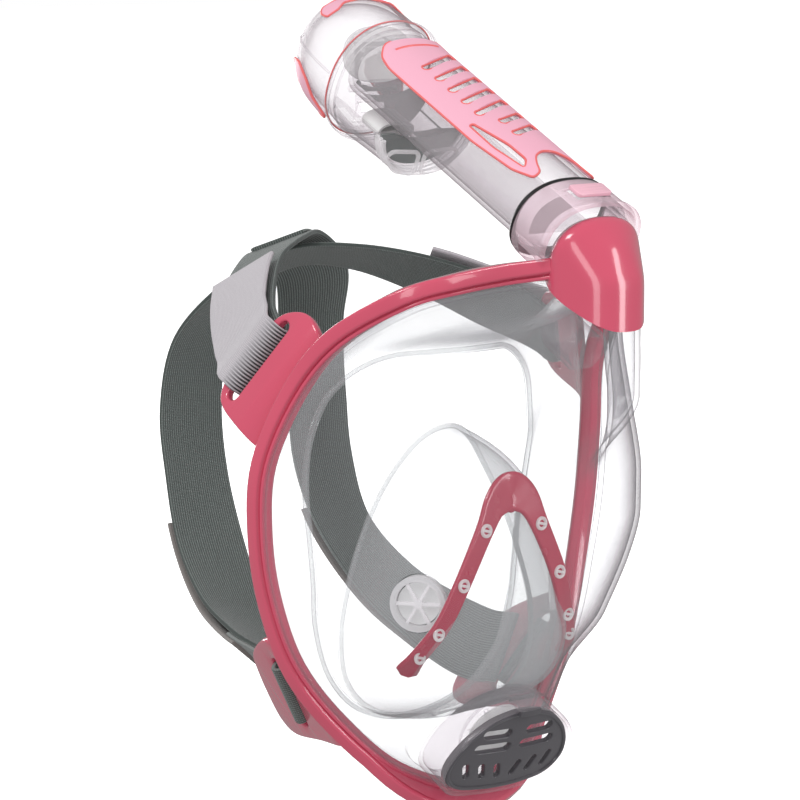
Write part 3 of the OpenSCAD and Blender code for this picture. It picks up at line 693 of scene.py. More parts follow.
def make_stiffener():
    """Inverted V, broad where its arms meet and flared at its tips, with a dished face."""
    half = np.array(STIFFENER_HALF, float)
    line = spline(np.vstack([half[:0:-1] * [-1, 1, 1], half]), 10)
    t = np.linspace(-1, 1, len(line))
    side = np.array([np.cross([0, -1, 0], [1, 0, -2.0 if p[0] > 0 else 2.0]) for p in line])
    _, side, out = band_frames(line, side)
    apex = np.exp(-((t / 0.22) ** 2))
    width = 8.4 + 9.5 * apex + 2.8 * smooth((abs(t) - 0.82) / 0.14)
    width *= 1 - 0.55 * smooth((abs(t) - 0.965) / 0.035)
    base = band_section(ARM_W, 2.4, 11, 0.5, 0.8)
    shift = 3.6 * apex
    rings = [p + side[i] * (base[:, :1] * width[i] / ARM_W) + out[i] * base[:, 1:] - [0, 0, shift[i]]
             for i, p in enumerate(line)]
    band = new_piece("stiffener_band", *bar(rings))
    place(band, rose, "mask", "stiffener_rose", "pocket_stiffener", angle=50)
    parts = []
    for x, y, z in STUDS:
        for flip in (1, -1):
            centre = np.array([flip * x, y - 1.5, z])
            t = np.arange(24) * 2 * np.pi / 24
            ring = centre + np.stack([2.3 * np.cos(t), 0 * t, 2.3 * np.sin(t)], -1)
            parts.append(wire(ring, 0.75))
            parts.append(wire(centre + np.array([[-1.9, 0, 0.5], [0, -0.3, 0], [1.9, 0, -0.5]]), 0.6, False))
            parts.append(wire(centre + np.array([[0, 5, 0], [0, 2, 0], [0, 0.6, 0]]), 1.2, False, 16))
    place(new_piece("stud_rings", *joined(parts)), valve_milky, "mask", "clear_plastic", "stiffener_studs")


# ---- Chin valve cover ----


def make_chin():
    """Slotted grille, its clear housing and the latch tab."""
    left_slots = [stadium(-11.5, 9.6, 15, 4.2), stadium(-12, 2.6, 19, 4.4)]
    slots = left_slots + [s * [-1, 1] for s in left_slots]
    for side in (-1, 1):
        slots += [stadium(side * (5 + 8.5 * c), -10.5 + 0.8 * c, 8.5, 3, side * 70) for c in range(3)]
    cover = plate("chin_grille", [chin_shape(-0.4), *slots], 3.0, 0.5, range(-32, 33, 3), range(-20, 20, 3))

    def crown(p, lift):
        """Points put on the grille's crowned face, that much above it."""
        height = 3.0 - 0.0022 * p[:, 0] ** 2 - 0.0035 * p[:, 1] ** 2
        return at_chin(np.column_stack([p[:, :2], p[:, 2] + height + lift]))

    warp(cover, lambda p: crown(p, -0.6))
    place(cover, gunmetal, "mask", "cover_gunmetal", "chin_cover", angle=40)
    rim_ring = crown(raised(chin_shape(-1.6), 0.0), 0.9)
    place(new_piece("chin_grille_rim", *wire(rim_ring, 0.9)), gunmetal, "mask", "cover_gunmetal")
    wall = plate("chin_housing_wall", [chin_shape(2), chin_shape(0.4)], 17.5, 0.35)
    place(warp(wall, lambda p: at_chin(p + [0, 0, -5.25])), clear, "mask", "lens_clear", "chin_valve_housing")
    floor = plate("chin_housing_floor", [chin_shape(0.3), circle(15.8) - [0, 1]], 2, 0.3)
    place(warp(floor, lambda p: at_chin(p + [0, 0, -13])), clear, "mask", "lens_clear")
    tab = rounded([(-7, 0), (-7, 8.6), (7, 8.6), (7, 0)], [0.5, 1.6, 1.6, 0.5])
    latch = plate("chin_latch_tab", [tab], 2.2, 0.4)
    place(warp(latch, lambda p: at_chin(np.column_stack([p[:, 0], 23.7 - p[:, 2], p[:, 1] - 2.4]))),
          clear, "mask", "clear_plastic", "chin_cover_latch")
    hook_outline = rounded([(-5.5, -1), (-5.5, 2.2), (5.5, 2.2), (5.5, -1)], 0.6)
    hook = plate("chin_latch_hook", [hook_outline], 1.6, 0.3)
    place(warp(hook, lambda p: at_chin(p + [0, 20.6, 5.4])), gunmetal, "mask", "cover_gunmetal")


# ---- Snorkel socket: hood, pipe and duct ----

# Half-width, half-depth and roundness of the tube; roundness of the dry top; wall of the clear parts
TUBE_A, TUBE_B, TUBE_E, TOP_E, WALL_T = 22.4, 15.8, 2.3, 2.2, 1.8

HOOD_T = 2.2
HOOD_HALF = [(4, -18), (9, -16.5), (15, -11), (19, -2), (20, 8), (16.5, 15), (8, 19)]


def make_hood():
    """Hood over the top of the lens: rounded hull, cut along its slanting lower edge and open at the neck."""
    plan = np.array(HOOD_HALF + [(-x, y) for x, y in HOOD_HALF[::-1]], float)
    plan = spline(raised(plan, 0), 4, closed=True)[:, :2]
    cloud = [raised(plan + [0, -116], z) for z in (60, 96)]
    for lat in np.radians(np.arange(-90, 91, 6)):
        ring = circle(20 * math.cos(lat) + 1e-6) * [1, 0.9]
        cloud.append(raised(ring + [0, -113], 100 + 20 * math.sin(lat)))
    for s in (-9, -6):
        neck = raised(oval(21.5, 16, n=64) + [0, 2.5], s)
        cloud.append(along_tube(neck))
    mesh = bpy.data.meshes.new("hood_shell")
    mesh.from_pydata((np.vstack(cloud) * MM).tolist(), [], [])
    hood = bpy.data.objects.new("hood_shell", mesh)
    bpy.context.scene.collection.objects.link(hood)

    def wrap(bm):
        hull = bmesh.ops.convex_hull(bm, input=bm.verts)
        loose = set(hull["geom_interior"]) | set(hull["geom_unused"])
        bmesh.ops.delete(bm, geom=[g for g in loose if isinstance(g, bmesh.types.BMVert)], context="VERTS")

    edit(hood, wrap)
    modify(hood, "REMESH", mode="VOXEL", voxel_size=1.1 * MM)
    modify(hood, "SMOOTH", factor=0.5, iterations=34)
    bake(hood)

    def cut_below(bm):
        """Removes what lies under the hood's slanting lower edge."""
        slant = math.radians(33)
        everything = bm.verts[:] + bm.edges[:] + bm.faces[:]
        bmesh.ops.bisect_plane(bm, geom=everything, clear_outer=True, plane_co=np.array([0, -134, 75.5]) * MM,
                               plane_no=(0, math.sin(slant), -math.cos(slant)))

    edit(hood, cut_below)
    solid_wall(hood, HOOD_T, -1)
    rings = [(60, 60, -4.4), (60, 60, 40), (20.1, 13.5, 40), (20.1, 13.5, 1.6), (22.2, 15.6, 1.6),
             (22.2, 15.6, -4.4)]
    collar_room = [raised(oval(a, b), s) for a, b, s in rings]
    cut(hood, new_piece("cutter", along_tube(np.array(collar_room)), grid_faces(6, 96, True, True)))
    place(hood, pink, "mask", "frame_pink", "socket_hood", angle=50)


def oval_ring(name, profile):
    """Ring round the tube whose closed profile is (along, half-width, half-depth, centre) points."""
    rings = [along_tube(raised(oval(a, b) + [0, y], s)) for s, a, b, y in profile]
    return new_piece(name, np.array(rings), grid_faces(len(rings), 96, True, True))


def shell_profile(outer, wall, tip):
    """Closed profile of a wall from the stations of its outer face, with softened ends."""
    outer = [tuple(q) for q in outer]
    inner = [(s, a - wall, b - wall, y) for s, a, b, y in reversed(outer)]
    (s0, a0, b0, y0), (s1, a1, b1, y1) = outer[0], outer[-1]
    first = [(s0 - tip, a0 - tip, b0 - tip, y0)]
    last = [(s1 + tip, a1 - tip, b1 - tip, y1)]
    end_in = [(s1 + tip, a1 - wall + tip, b1 - wall + tip, y1)]
    start_in = [(s0 - tip, a0 - wall + tip, b0 - wall + tip, y0)]
    return first + outer + last + end_in + inner + start_in


def make_socket():
    """Pipe that the snorkel fits over, and the hexagonal duct in the prow."""
    pipe_profile = shell_profile([(-4.0, 20.2, 13.6, 0), (11.6, 20.2, 13.6, 0)], WALL_T, 0.4)
    pipe = oval_ring("socket_pipe_wall", pipe_profile)
    place(pipe, clear, "mask", "lens_clear", "socket_pipe")
    duct_frame = turned_x(np.array([0, -101, 69]), 118)
    hexagon = [(12 * math.cos(a), 10 * math.sin(a)) for a in np.radians(np.arange(0, 360, 60))]
    inner = [(x * 0.84, y * 0.82) for x, y in hexagon]
    duct = plate("duct_tunnel", [rounded(hexagon, 2), rounded(inner, 1.6)], 18, 0.4)
    place(warp(duct, duct_frame), clear, "mask", "clear_plastic", "intake_duct")


# ---- Snorkel: collar, tube and grip ----

BUTTON_Y = (-18.3, 21.4)
RIM_S = 143.0


def make_collar():
    """Clear collar with windows for its two latch buttons, and its O-ring."""
    outer = [(-3.6, 26.6, 20.4, 1.8), (-1.9, 26.5, 20.3, 1.8), (-1.3, 25.7, 19.7, 1.8), (3, 25.5, 19.5, 1.8),
             (11, 25.4, 19.4, 1.8), (11.6, 25.0, 19.0, 1.8), (16.6, 24.8, 18.8, 1.7), (17, 24.4, 18.4, 1.6)]
    inner = [(17, 22.9, 16.3, 0), (-3.2, 22.8, 16.2, 0), (-4, 23.3, 16.8, 0.4)]
    collar = oval_ring("collar_shell", outer + inner + [(-4, 26.2, 20.0, 1.8)])
    windows = [box_piece((-9.6, y - 4, 1.4), (9.6, y + 4, 10.6), along_tube) for y in BUTTON_Y]
    notches = [box_piece(low, high, along_tube)
               for low, high in (((13, 8, -7), (43, 32, 11.5)), ((-43, 8, -7), (-13, 32, 11.5)))]
    cut(collar, *windows, *notches)
    place(collar, collar_clear, "snorkel", "tube_clear", "snorkel_collar")
    seal = [(17.3, 24.4, 18.2, 1.4), (18.1, 24.8, 18.6, 1.4), (18.9, 24.4, 18.2, 1.4), (18.9, 22.9, 16.3, 0),
            (17.3, 22.9, 16.3, 0)]
    place(oval_ring("collar_o_ring", seal), seal_black, "snorkel", "seal_black", "collar_seal")
    for name, y in zip(("front", "rear"), BUTTON_Y):
        pad = plate("latch_button_" + name, [rounded([(-9, 2), (-9, 10), (9, 10), (9, 2)], 1.6)], 1.8, 0.4)
        ribs = [wire(along_tube(np.column_stack([np.linspace(-6, 6, 7), np.full(7, y + math.copysign(0.5, y)),
                np.full(7, s)])), 0.5, False) for s in (4, 6, 8)]
        warp(pad, lambda p, y=y: along_tube(np.column_stack([p[:, 0], y - p[:, 2], p[:, 1]])))
        body = "collar_button_" + name
        place(pad, button_pink, body, "button_pink", body)
        place(new_piece("latch_ribs_" + name, *joined(ribs)), button_pink, body, "button_pink")


def make_tube():
    stations = [(s, TUBE_A, TUBE_B, 0) for s in (2.4, 70, 142.6)]
    tube = oval_ring("tube_wall", shell_profile(stations, WALL_T, 0.4))
    place(tube, tube_clear, "snorkel", "tube_clear", "snorkel_tube")


def round_tube():
    """Function from (arc length from the top, along, height) to points on the tube's surface."""
    t = np.linspace(math.pi, 2 * math.pi, 2000)
    c, s = np.cos(t), np.sin(t)
    x = TUBE_A * np.sign(c) * abs(c) ** (2 / TUBE_E)
    y = TUBE_B * np.sign(s) * abs(s) ** (2 / TUBE_E)
    length = np.concatenate([[0], np.cumsum(np.hypot(np.diff(x), np.diff(y)))])
    length -= length[-1] / 2
    nx, ny = np.gradient(y), -np.gradient(x)
    size = np.hypot(nx, ny)

    def move(p):
        u, along, height = p[:, 0], p[:, 1], p[:, 2]
        px, py = np.interp(u, length, x), np.interp(u, length, y)
        qx, qy = np.interp(u, length, nx / size), np.interp(u, length, ny / size)
        return along_tube(np.column_stack([px + qx * height, py + qy * height, along]))

    return move


OVERLAY = [(-14.6, 24), (-10.6, 25.5), (-8.6, 31), (-5.5, 36.5), (0, 39.5), (6, 39), (12, 34), (17.6, 24.5),
           (19.6, 25), (19.6, 128), (16.5, 136), (-13.5, 136), (-18.5, 130), (-20, 122), (-20, 60), (-18, 34)]


def overlay_holes():
    """Wedge window beside the fork, and rows of slanting slots."""
    wedge = rounded([(-14.2, 31), (-10.4, 35.5), (-10.6, 48), (-14.4, 68), (-16.2, 68), (-16.4, 50)], 2.2)
    holes = [wedge]
    for row in range(7):
        s = 57.5 + 9.8 * row
        reach = 19 if row < 2 else 25
        holes.append(stadium(4.6 if row < 2 else 1.4, s, reach, 3.9, 24))
    return holes


def make_grip():
    """Soft grip moulded on the tube, with a raised salmon line along every edge."""
    move = round_tube()
    outline = rounded(OVERLAY, 2.6, 5)
    holes = overlay_holes()
    pad = plate("grip_pad", [outline, *holes], 1.5, 0.35, np.arange(-19, 20, 1.5))
    warp(pad, lambda p: move(p + [0, 0, 1.15]))
    place(pad, overlay_pink, "snorkel", "overlay_pink", "grip_overlay", angle=50)
    lines = [wire(move(raised(line, 1.55)), 0.55) for line in [outline, *holes]]
    bar_line = np.column_stack([np.linspace(-12, 10, 20), np.full(20, 129.5), np.full(20, 1.8)])
    lines.append(wire(move(bar_line), 0.6, False))
    place(new_piece("grip_edge", *joined(lines)), salmon, "snorkel", "overlay_pink")


# ---- Dry top ----

POD_EDGE = 15
POD = [(113, 25, 23.4, 10), (128, 25.6, 25, 9.4), (RIM_S - 0.2, 26.5, 27, 8.6)]
CAP = [(RIM_S + 5.2, 26.6, 27.4, 8.6), (RIM_S + 18, 26.4, 26.8, 8.3), (RIM_S + 29, 25, 24.6, 8),
       (RIM_S + 38, 21, 19.4, 7.6), (RIM_S + 43, 13, 11, 7.2)]


def surface_of(stations):
    """Function from (angle in degrees, along, height) to points on a lofted oval."""
    fine = spline(stations, 12)

    def move(p):
        along = p[:, 1]
        a, b, y0 = (np.interp(along, fine[:, 0], fine[:, k]) for k in (1, 2, 3))
        t = np.radians(p[:, 0])
        c, s = np.cos(t), np.sin(t)
        x = (a + p[:, 2]) * np.sign(c) * abs(c) ** (2 / TOP_E)
        y = y0 + (b + p[:, 2]) * np.sign(s) * abs(s) ** (2 / TOP_E)
        return along_tube(np.column_stack([x, y, along]))

    return move


def arc_shell(name, stations, start, end, wall):
    """Wall over part of a lofted oval's round."""
    move = surface_of(stations)
    low, high = stations[0][0], stations[-1][0]
    angles = np.linspace(start, end, 61)
    rows = [move(np.column_stack([angles, np.full(61, s), np.zeros(61)])) for s in np.linspace(low, high, 21)]
    obj = new_piece(name, np.array(rows), grid_faces(21, 61, around=False))
    inside = Vector(along_tube([0, 9, (low + high) / 2]) * MM)
    face = obj.data.polygons[0]
    outward = face.normal @ (face.center - inside) > 0
    return solid_wall(obj, wall, -1 if outward else 1)


def make_dry_top():
    """Exhale pod and flap, ridged rim, and the cap on it."""
    pod = arc_shell("pod_wall", POD, 10, 170, WALL_T)
    place(pod, tube_clear, "snorkel", "tube_clear", "exhale_pod")
    ribs = []
    move = surface_of(POD)
    for angle in (28, 152, 60, 120):
        run = np.column_stack([np.full(20, angle), np.linspace(114, 142, 20), np.full(20, 0.2)])
        ribs.append(wire(move(run), 0.45, False))
    place(new_piece("pod_ribs", *joined(ribs)), tube_clear, "snorkel", "tube_clear")
    moon = half_moon(-0.9, 0.3)
    ports = [circle(5.6, 32) + [side * 9, 24] for side in (-1, 1)]
    end = plate("pod_end", [moon, *ports], 1.6, 0.2)
    place(warp(end, lambda p: along_tube(p + [0, 0, 113.9])), tube_clear, "snorkel", "tube_clear")
    flap = plate("exhale_fan", [half_moon(-3, 1.8)], 1.1, 0.2)
    warp(flap, lambda p: along_tube(p + [0, 0, 112.15]))
    place(flap, flap_grey, "exhale_flap", "flap_grey", "exhale_flap")
    make_guard()
    rim = [(143.2, 27.4, 28.2), (143.6, 28, 28.8), (144.4, 28, 28.8), (144.8, 27.3, 28.1),
           (145.2, 27.3, 28.1), (145.6, 28, 28.8), (146.3, 28, 28.8), (146.7, 27.3, 28.1),
           (147.2, 27.3, 28.1), (147.6, 27.8, 28.6), (148, 27.4, 28.2), (148, 25, 25.8),
           (145, 25, 25.8), (143, 25, 25.8), (143, 27, 27.8)]
    ring = oval_ring("rim_ring", [(s, a, b, 8.6) for s, a, b in rim])
    place(ring, tube_clear, "snorkel", "tube_clear", "dry_top_rim")
    seat = plate("rim_seat", [oval(25.2, 26, n=96) + [0, 8.6], oval(17, 11.2),
                              [(-11, 18), (-11, 28), (11, 28), (11, 18)]], 1.8, 0.3)
    place(warp(seat, lambda p: along_tube(p + [0, 0, 144])), tube_clear, "snorkel", "tube_clear")
    gasket = along_tube(raised(oval(27.0, 27.8, TOP_E, 120) + [0, 8.6], 148.1))
    place(new_piece("cap_gasket", *wire(gasket, 0.4)), salmon, "snorkel", "overlay_pink")
    make_cap()


def pod_arc(grow):
    """Lower part of the pod's oval, grown by that much, from its right to its left."""
    _, a, b, middle = POD[0]
    arc = oval(a + grow, b + grow, TOP_E, 144) + [0, middle]
    arc = arc[arc[:, 1] > POD_EDGE]
    return arc[np.argsort(np.arctan2(arc[:, 1] - middle, arc[:, 0]))]


def half_moon(grow, tube_grow):
    """Outline of the pod's lower end: its oval below the tube, as one closed line."""
    inner = oval(TUBE_A + tube_grow, TUBE_B + tube_grow, TUBE_E, 240)
    inner = inner[inner[:, 1] > POD_EDGE]
    return np.vstack([pod_arc(grow), inner[np.argsort(inner[:, 0])]])


def make_guard():
    """Guard round the exhale flap: an outer rim, a rib at its middle and a loop each side."""
    parts = [wire(along_tube(raised(pod_arc(-0.9), s)), 1.1, False) for s in (107.2, 109.6, 111.9)]
    for side in (-1, 1):
        loop = rounded([(1.6, 33), (1.6, 22), (17, 21), (20, 24), (13, 31)], 3.5, 6) * [side, 1]
        parts.append(wire(along_tube(raised(loop, 107)), 1.0))
    place(new_piece("flap_guard", *joined(parts)), guard_clear, "snorkel", "clear_plastic", "exhale_bracket")


# Outlines on the cap: angle round the tube in degrees, place along it
CRESCENT = [(222, 169), (221, 174), (228, 178), (245, 178.5), (270, 177), (300, 174), (326, 168),
            (330, 165), (322, 166), (298, 169.5), (268, 171.5), (246, 171.5), (236, 168.5)]
PANEL = [(8, 172), (16, 179), (30, 181), (42, 178), (46, 152), (40, 150), (28, 158), (16, 163)]


def make_cap():
    """Clear cap with vent slots, the crescent over its top and a panel each side."""
    fine = spline(CAP, 8)
    tip = [(fine[-1, 0] + d, fine[-1, 1] * k, fine[-1, 2] * k, fine[-1, 3])
           for d, k in ((0.9, 0.86), (1.5, 0.66), (1.9, 0.4), (2.0, 0.12))]
    stations = np.vstack([fine, tip])
    rows = [along_tube(raised(oval(a, b, TOP_E) + [0, y], s)) for s, a, b, y in stations]
    lid = tuple((len(rows) - 1) * 96 + j for j in range(96))
    cap = new_piece("cap_shell", np.array(rows), grid_faces(len(rows), 96) + [lid])
    solid_wall(cap, WALL_T, -1)
    slots = [box_piece((x - 3, 26, RIM_S + 8), (x + 3, 40, RIM_S + 24), along_tube) for x in (-12, 0, 12)]
    cut(cap, *slots)
    place(cap, tube_clear, "snorkel", "tube_clear", "dry_top_cap", angle=50)
    move = surface_of(CAP)
    crescent = rounded(CRESCENT, 2.5, 5)
    trim = plate("cap_crescent", [crescent], 1.0, 0.25, range(222, 330, 3), range(164, 180, 2))
    warp(trim, lambda p: move(p + [0, 0, 0.9]))
    place(trim, overlay_pink, "snorkel", "frame_pink", "top_trim", angle=50)
    edges = [wire(move(raised(crescent, 1.2)), 0.5)]
    seams = []
    for flip in (False, True):
        patch = rounded([(180 - a if flip else a, s) for a, s in PANEL], 2.5, 4)
        low, high = int(min(patch[:, 0])) + 1, int(max(patch[:, 0]))
        panel = plate("pod_panel_" + ("right" if flip else "left"), [patch], 1.0, 0.25, range(low, high, 3),
                      range(152, 180, 3))
        warp(panel, lambda p: move(p + [0, 0, 0.9]))
        place(panel, overlay_pink, "snorkel", "overlay_pink", "pod_trim", angle=50)
        edges.append(wire(move(raised(patch, 1.2)), 0.6))
        seam_angle = np.full(24, 184 if flip else -4)
        seam = np.column_stack([seam_angle, np.linspace(150, 184, 24), np.full(24, 0.1)])
        seams.append(wire(move(seam), 0.55, False))
    place(new_piece("cap_trim_edges", *joined(edges)), salmon, "snorkel", "overlay_pink")
    place(new_piece("cap_seams", *joined(seams)), tube_clear, "snorkel", "tube_clear")


# ---- Strap clips ----

UPPER_CENTRE, LOWER_CENTRE = np.array([-82, 5, 56.0]), np.array([-64, 9, -88.0])


def plane_axes(d1, toward):
    """Two directions of a plate: its first axis, and the second turned square to it."""
    d1 = unit(d1)
    return d1, np.cross(unit(np.cross(d1, toward)), d1)


UPPER_D1, UPPER_D2 = plane_axes((0.442, -0.413, 0.796), (-0.074, -0.902, -0.426))
LOWER_D1, LOWER_D2 = plane_axes((0.499, -0.22, -0.838), (-0.224, -0.967, 0.12))
UPPER_OUT, LOWER_OUT = -np.cross(UPPER_D1, UPPER_D2), np.cross(LOWER_D1, LOWER_D2)
UPPER_PLATE = [(19, -6), (26.5, 1), (29, 9), (26.5, 18), (20, 22.5), (6, 24), (-9, 26.5), (-22, 30),
               (-27, 28), (-26.5, 14), (-25.5, 1), (-22, -5.5), (-13, -9), (4, -8.6)]
LOWER_PLATE = [(-29, 12), (-21, -9.3), (-11, -18.2), (6.5, -27.3), (19, -30.5), (26, -23.5), (26.6, 2.6),
               (28, 27), (24, 37), (7, 36), (-8.5, 32.5), (-20, 29), (-27, 23)]
# A clip's slot: its place along the second axis, length, height and turn
UPPER_SLOT, LOWER_SLOT = (0.5, 41, 6.4, 0), (3, 42, 7, -26)


def in_plane(centre, d1, d2, out, side):
    """Function from a clip's own frame to the object's."""
    def move(p):
        p = np.asarray(p, float)
        return (centre + p[:, :1] * d1 + p[:, 1:2] * d2 + p[:, 2:] * out) * [side, 1, 1]
    return move


def make_clips():
    """Four clips on the frame, each with a slot for its strap; they curve down to meet the ring."""
    upper = ("upper", UPPER_PLATE, UPPER_SLOT, (UPPER_CENTRE, UPPER_D1, UPPER_D2, UPPER_OUT), 12.0)
    lower = ("lower", LOWER_PLATE, LOWER_SLOT, (LOWER_CENTRE, LOWER_D1, LOWER_D2, LOWER_OUT), 16.0)
    for side, name in ((-1, "left"), (1, "right")):
        for kind, outline, slot, axes, ring_side in (upper, lower):
            move = in_plane(*axes, side)
            smooth_outline = spline(raised(outline, 0), 5, closed=True)[:, :2]
            outlines = [smooth_outline, stadium(0, *slot)]
            clip = plate("clip_" + kind + "_" + name, outlines, 4.2, 1.1, (), range(-28, 36, 2))

            def bend(p, move=move, ring_side=ring_side):
                sink = -0.03 * np.maximum(0, p[:, 1] - ring_side) ** 2
                return move(np.column_stack([p[:, :2], p[:, 2] + sink]))

            warp(clip, bend)
            edge = BAND_W / 2 - 0.6
            room = np.stack([beside(w, h) for w, h in ((-26, -17), (-26, 17), (edge, 17), (edge, -17))], 1)
            cut(clip, new_piece("cutter", *bar(room, closed=True)))
            place(clip, pink, "mask", "frame_pink", kind + "_clip_" + name, angle=50)


# ---- Straps ----

STRAP_W, STRAP_T, TAIL_LIFT, CROSS_LIFT, STRAP_STEPS, CROSSING = 34.0, 2.0, 5.2, 6.0, 9, 5
STRAP_PATH = [(-78.6, 5, 54), (-77, 16, 60), (-67, 33, 68), (-46, 55, 80), (-22, 74, 88), (0, 92, 88),
              (22, 105, 74), (33, 117, 50), (36, 121, 20), (36, 117, -10), (38, 104, -39), (44, 79, -63),
              (50, 52, -77), (56, 30, -86), (60.5, 13, -86.5)]
STRAP_SIDES = [(0.44, -0.41, 0.8), (0.44, -0.41, 0.8), (0.5, -0.3, 0.8), (0.55, -0.5, 0.6),
               (0.53, -0.74, 0.4), (0.61, -0.72, 0.33), (0.76, -0.59, 0.27), (1, -0.15, 0.1),
               (1, 0, 0), (1, 0, 0), (1, 0.1, 0), (0.95, 0.1, 0.25), (0.85, 0, 0.5), (0.6, -0.1, 0.8),
               (0.53, 0.12, 0.84)]
strap_line, strap_side = spline(STRAP_PATH, STRAP_STEPS), spline(STRAP_SIDES, STRAP_STEPS)
_, _, strap_out = band_frames(strap_line, strap_side)


def webbing(name, points, sides, material, slot, *nodes, on, width=STRAP_W, thick=STRAP_T, flip=False):
    """Strap along its centreline, as a band with rounded edges; UV holds millimetres."""
    points, sides = np.asarray(points, float), np.asarray(sides, float)
    _, side, out = band_frames(points, sides)
    base = band_section(width, thick, 13, 0, 0.7)
    rings = points[:, None] + side[:, None] * base[None, :, :1] + out[:, None] * base[None, :, 1:]
    along = np.concatenate([[0], np.cumsum(np.linalg.norm(np.diff(points, axis=0), axis=1))])
    grid = rings.shape[:2]
    uv = np.stack([np.broadcast_to(base[:, 0], grid), np.broadcast_to(along[:, None], grid)], -1)
    if flip:
        rings = rings * [-1, 1, 1]
    obj = new_piece(name, *bar(rings), uv=uv.reshape(-1, 2))
    place(obj, material, "mask", slot, *nodes, angle=60)
    return obj


def at_strap(i0, i1, lift):
    """Which samples run from station i0 to i1, those points lifted off the strap, and their sides."""
    pick = slice(int(i0 * STRAP_STEPS), int(i1 * STRAP_STEPS) + 1)
    return pick, strap_line[pick] + strap_out[pick] * lift, strap_side[pick]


def through_slot(steps):
    """Points of the strap's end in the upper clip's slot, from (along its second axis, out) steps."""
    return [UPPER_CENTRE + UPPER_D2 * q + UPPER_OUT * o for q, o in steps]


def make_straps():
    """Each strap leaves an upper clip, crosses over the crown and ends at the other side's lower clip."""
    slot_in = through_slot([(0.6, -1.0), (-0.2, -2.9), (-3, -3.5)])
    fold = through_slot([(0.9, -1.6), (0.7, 0.6), (-0.3, 2.6), (-2.6, 3.9), (-6, 4.3), (-10, 4.2)])
    stations = np.arange(len(strap_line)) / STRAP_STEPS
    for side, name, other in ((1, "left", "right"), (-1, "right", "left")):
        lift = (CROSS_LIFT * smooth((10 - 3 * abs(stations - CROSSING)) / 5) * (side == -1))[:, None]
        body = strap_line + strap_out * lift
        points = np.vstack([slot_in, body[3:]])
        sides = np.vstack([[UPPER_D1] * 3, strap_side[3:]])
        webbing("strap_band_" + name, points, sides, strap_dark, "strap_grey", "strap_" + name,
                on=["clip_upper_" + name, "clip_lower_" + other], flip=side == 1)
        pick, on_strap, on_side = at_strap(1.4, 3.2, TAIL_LIFT)
        on_strap = on_strap + strap_out[pick] * lift[pick]
        path = spline(np.vstack([fold, on_strap[::3]]), 3)
        widths = spline(np.vstack([[UPPER_D1] * 6, on_side[::3]]), 3)
        webbing("tail_upper_" + name, path, widths, tail_light, "tail_light", "upper_tail_" + name,
                on=["strap_band_" + name, "clip_upper_" + name], flip=side == 1)
        make_lower_strap_end(name, other, flip=side == -1)


def make_lower_strap_end(name, other, flip):
    """Roll of webbing in the lower clip's slot, the doubled stretch behind it and the loose tail."""
    _, tail_points, tail_sides = at_strap(9.67, 12.34, TAIL_LIFT - 0.8)
    # The loose tail's grey-brown is painted shade over its own grey webbing.
    webbing("tail_lower_" + name, tail_points, tail_sides, tail_taupe, "tail_taupe", "lower_tail_" + name,
            on=["strap_band_" + other], flip=flip)
    _, fold_points, fold_sides = at_strap(12.0, 13.6, 2.3)
    webbing("strap_fold_" + name, fold_points, fold_sides, fold_grey, "strap_grey",
            on=["strap_band_" + other], flip=flip)
    turn = math.radians(LOWER_SLOT[3])
    run = LOWER_D1 * math.cos(turn) + LOWER_D2 * math.sin(turn)
    over = -LOWER_D1 * math.sin(turn) + LOWER_D2 * math.cos(turn)
    centre = LOWER_CENTRE + LOWER_SLOT[0] * LOWER_D2
    arc = [centre + over * 2.5 * math.cos(t) + LOWER_OUT * (3.1 * math.sin(t) + 0.9)
           for t in np.radians(np.linspace(-50, 230, 15))]
    mirror = np.array([-1, 1, 1])
    path, widths = np.array(arc) * mirror, np.array([run] * 15) * mirror
    webbing("strap_roll_" + name, path, widths, strap_dark, "strap_grey", on=["clip_lower_" + name],
            flip=flip)


def make_crossing():
    """Square of webbing sewn over the crossing, bent to follow the upper strap."""
    pick = slice(int(4.55 * STRAP_STEPS), int(5.5 * STRAP_STEPS))
    lift = CROSS_LIFT + STRAP_T * 0.5 + 0.9
    points = strap_line[pick] + strap_out[pick] * lift
    webbing("crossing_square", points, strap_side[pick], strap_dark, "strap_grey", "crossing_patch",
            on=["strap_band_right"], width=26.0, thick=1.6)


# ---- Carried-over CAD nodes ----

KEPT = {
    "inhale_seat_left": guard_clear, "inhale_seat_right": guard_clear, "inhale_flap_left": valve_milky,
    "inhale_flap_right": valve_milky, "chin_valve_seat": clear, "chin_valve_flap": valve_milky,
    "tube_partition": tube_clear, "float": float_white, "float_lever": clear, "seal_disc": valve_milky,
}


def dress_cad_nodes():
    """Materials and softened edges for the CAD nodes that are shown as they are."""
    for name, material in KEPT.items():
        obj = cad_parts[name]
        obj.data.materials.clear()
        obj.data.materials.append(material)
        modify(obj, "WELD", merge_threshold=0.01 * MM)
        modify(obj, "BEVEL", width=0.25 * MM, segments=2, limit_method="ANGLE", angle_limit=math.radians(40))


# ---- Camera, light and floor ----

CAMERA_AZIMUTH, CAMERA_ELEVATION, CAMERA_AWAY = -38.5, 8.0, 1600.0
CAMERA_RIGHT, CAMERA_UP, FOCAL_LENGTH, SENSOR_WIDTH = -8.7, 32.6, 165.6, 36
SURROUND, SURROUND_SEEN, SURROUND_MIRRORED = 0.58, 0.42, -0.25


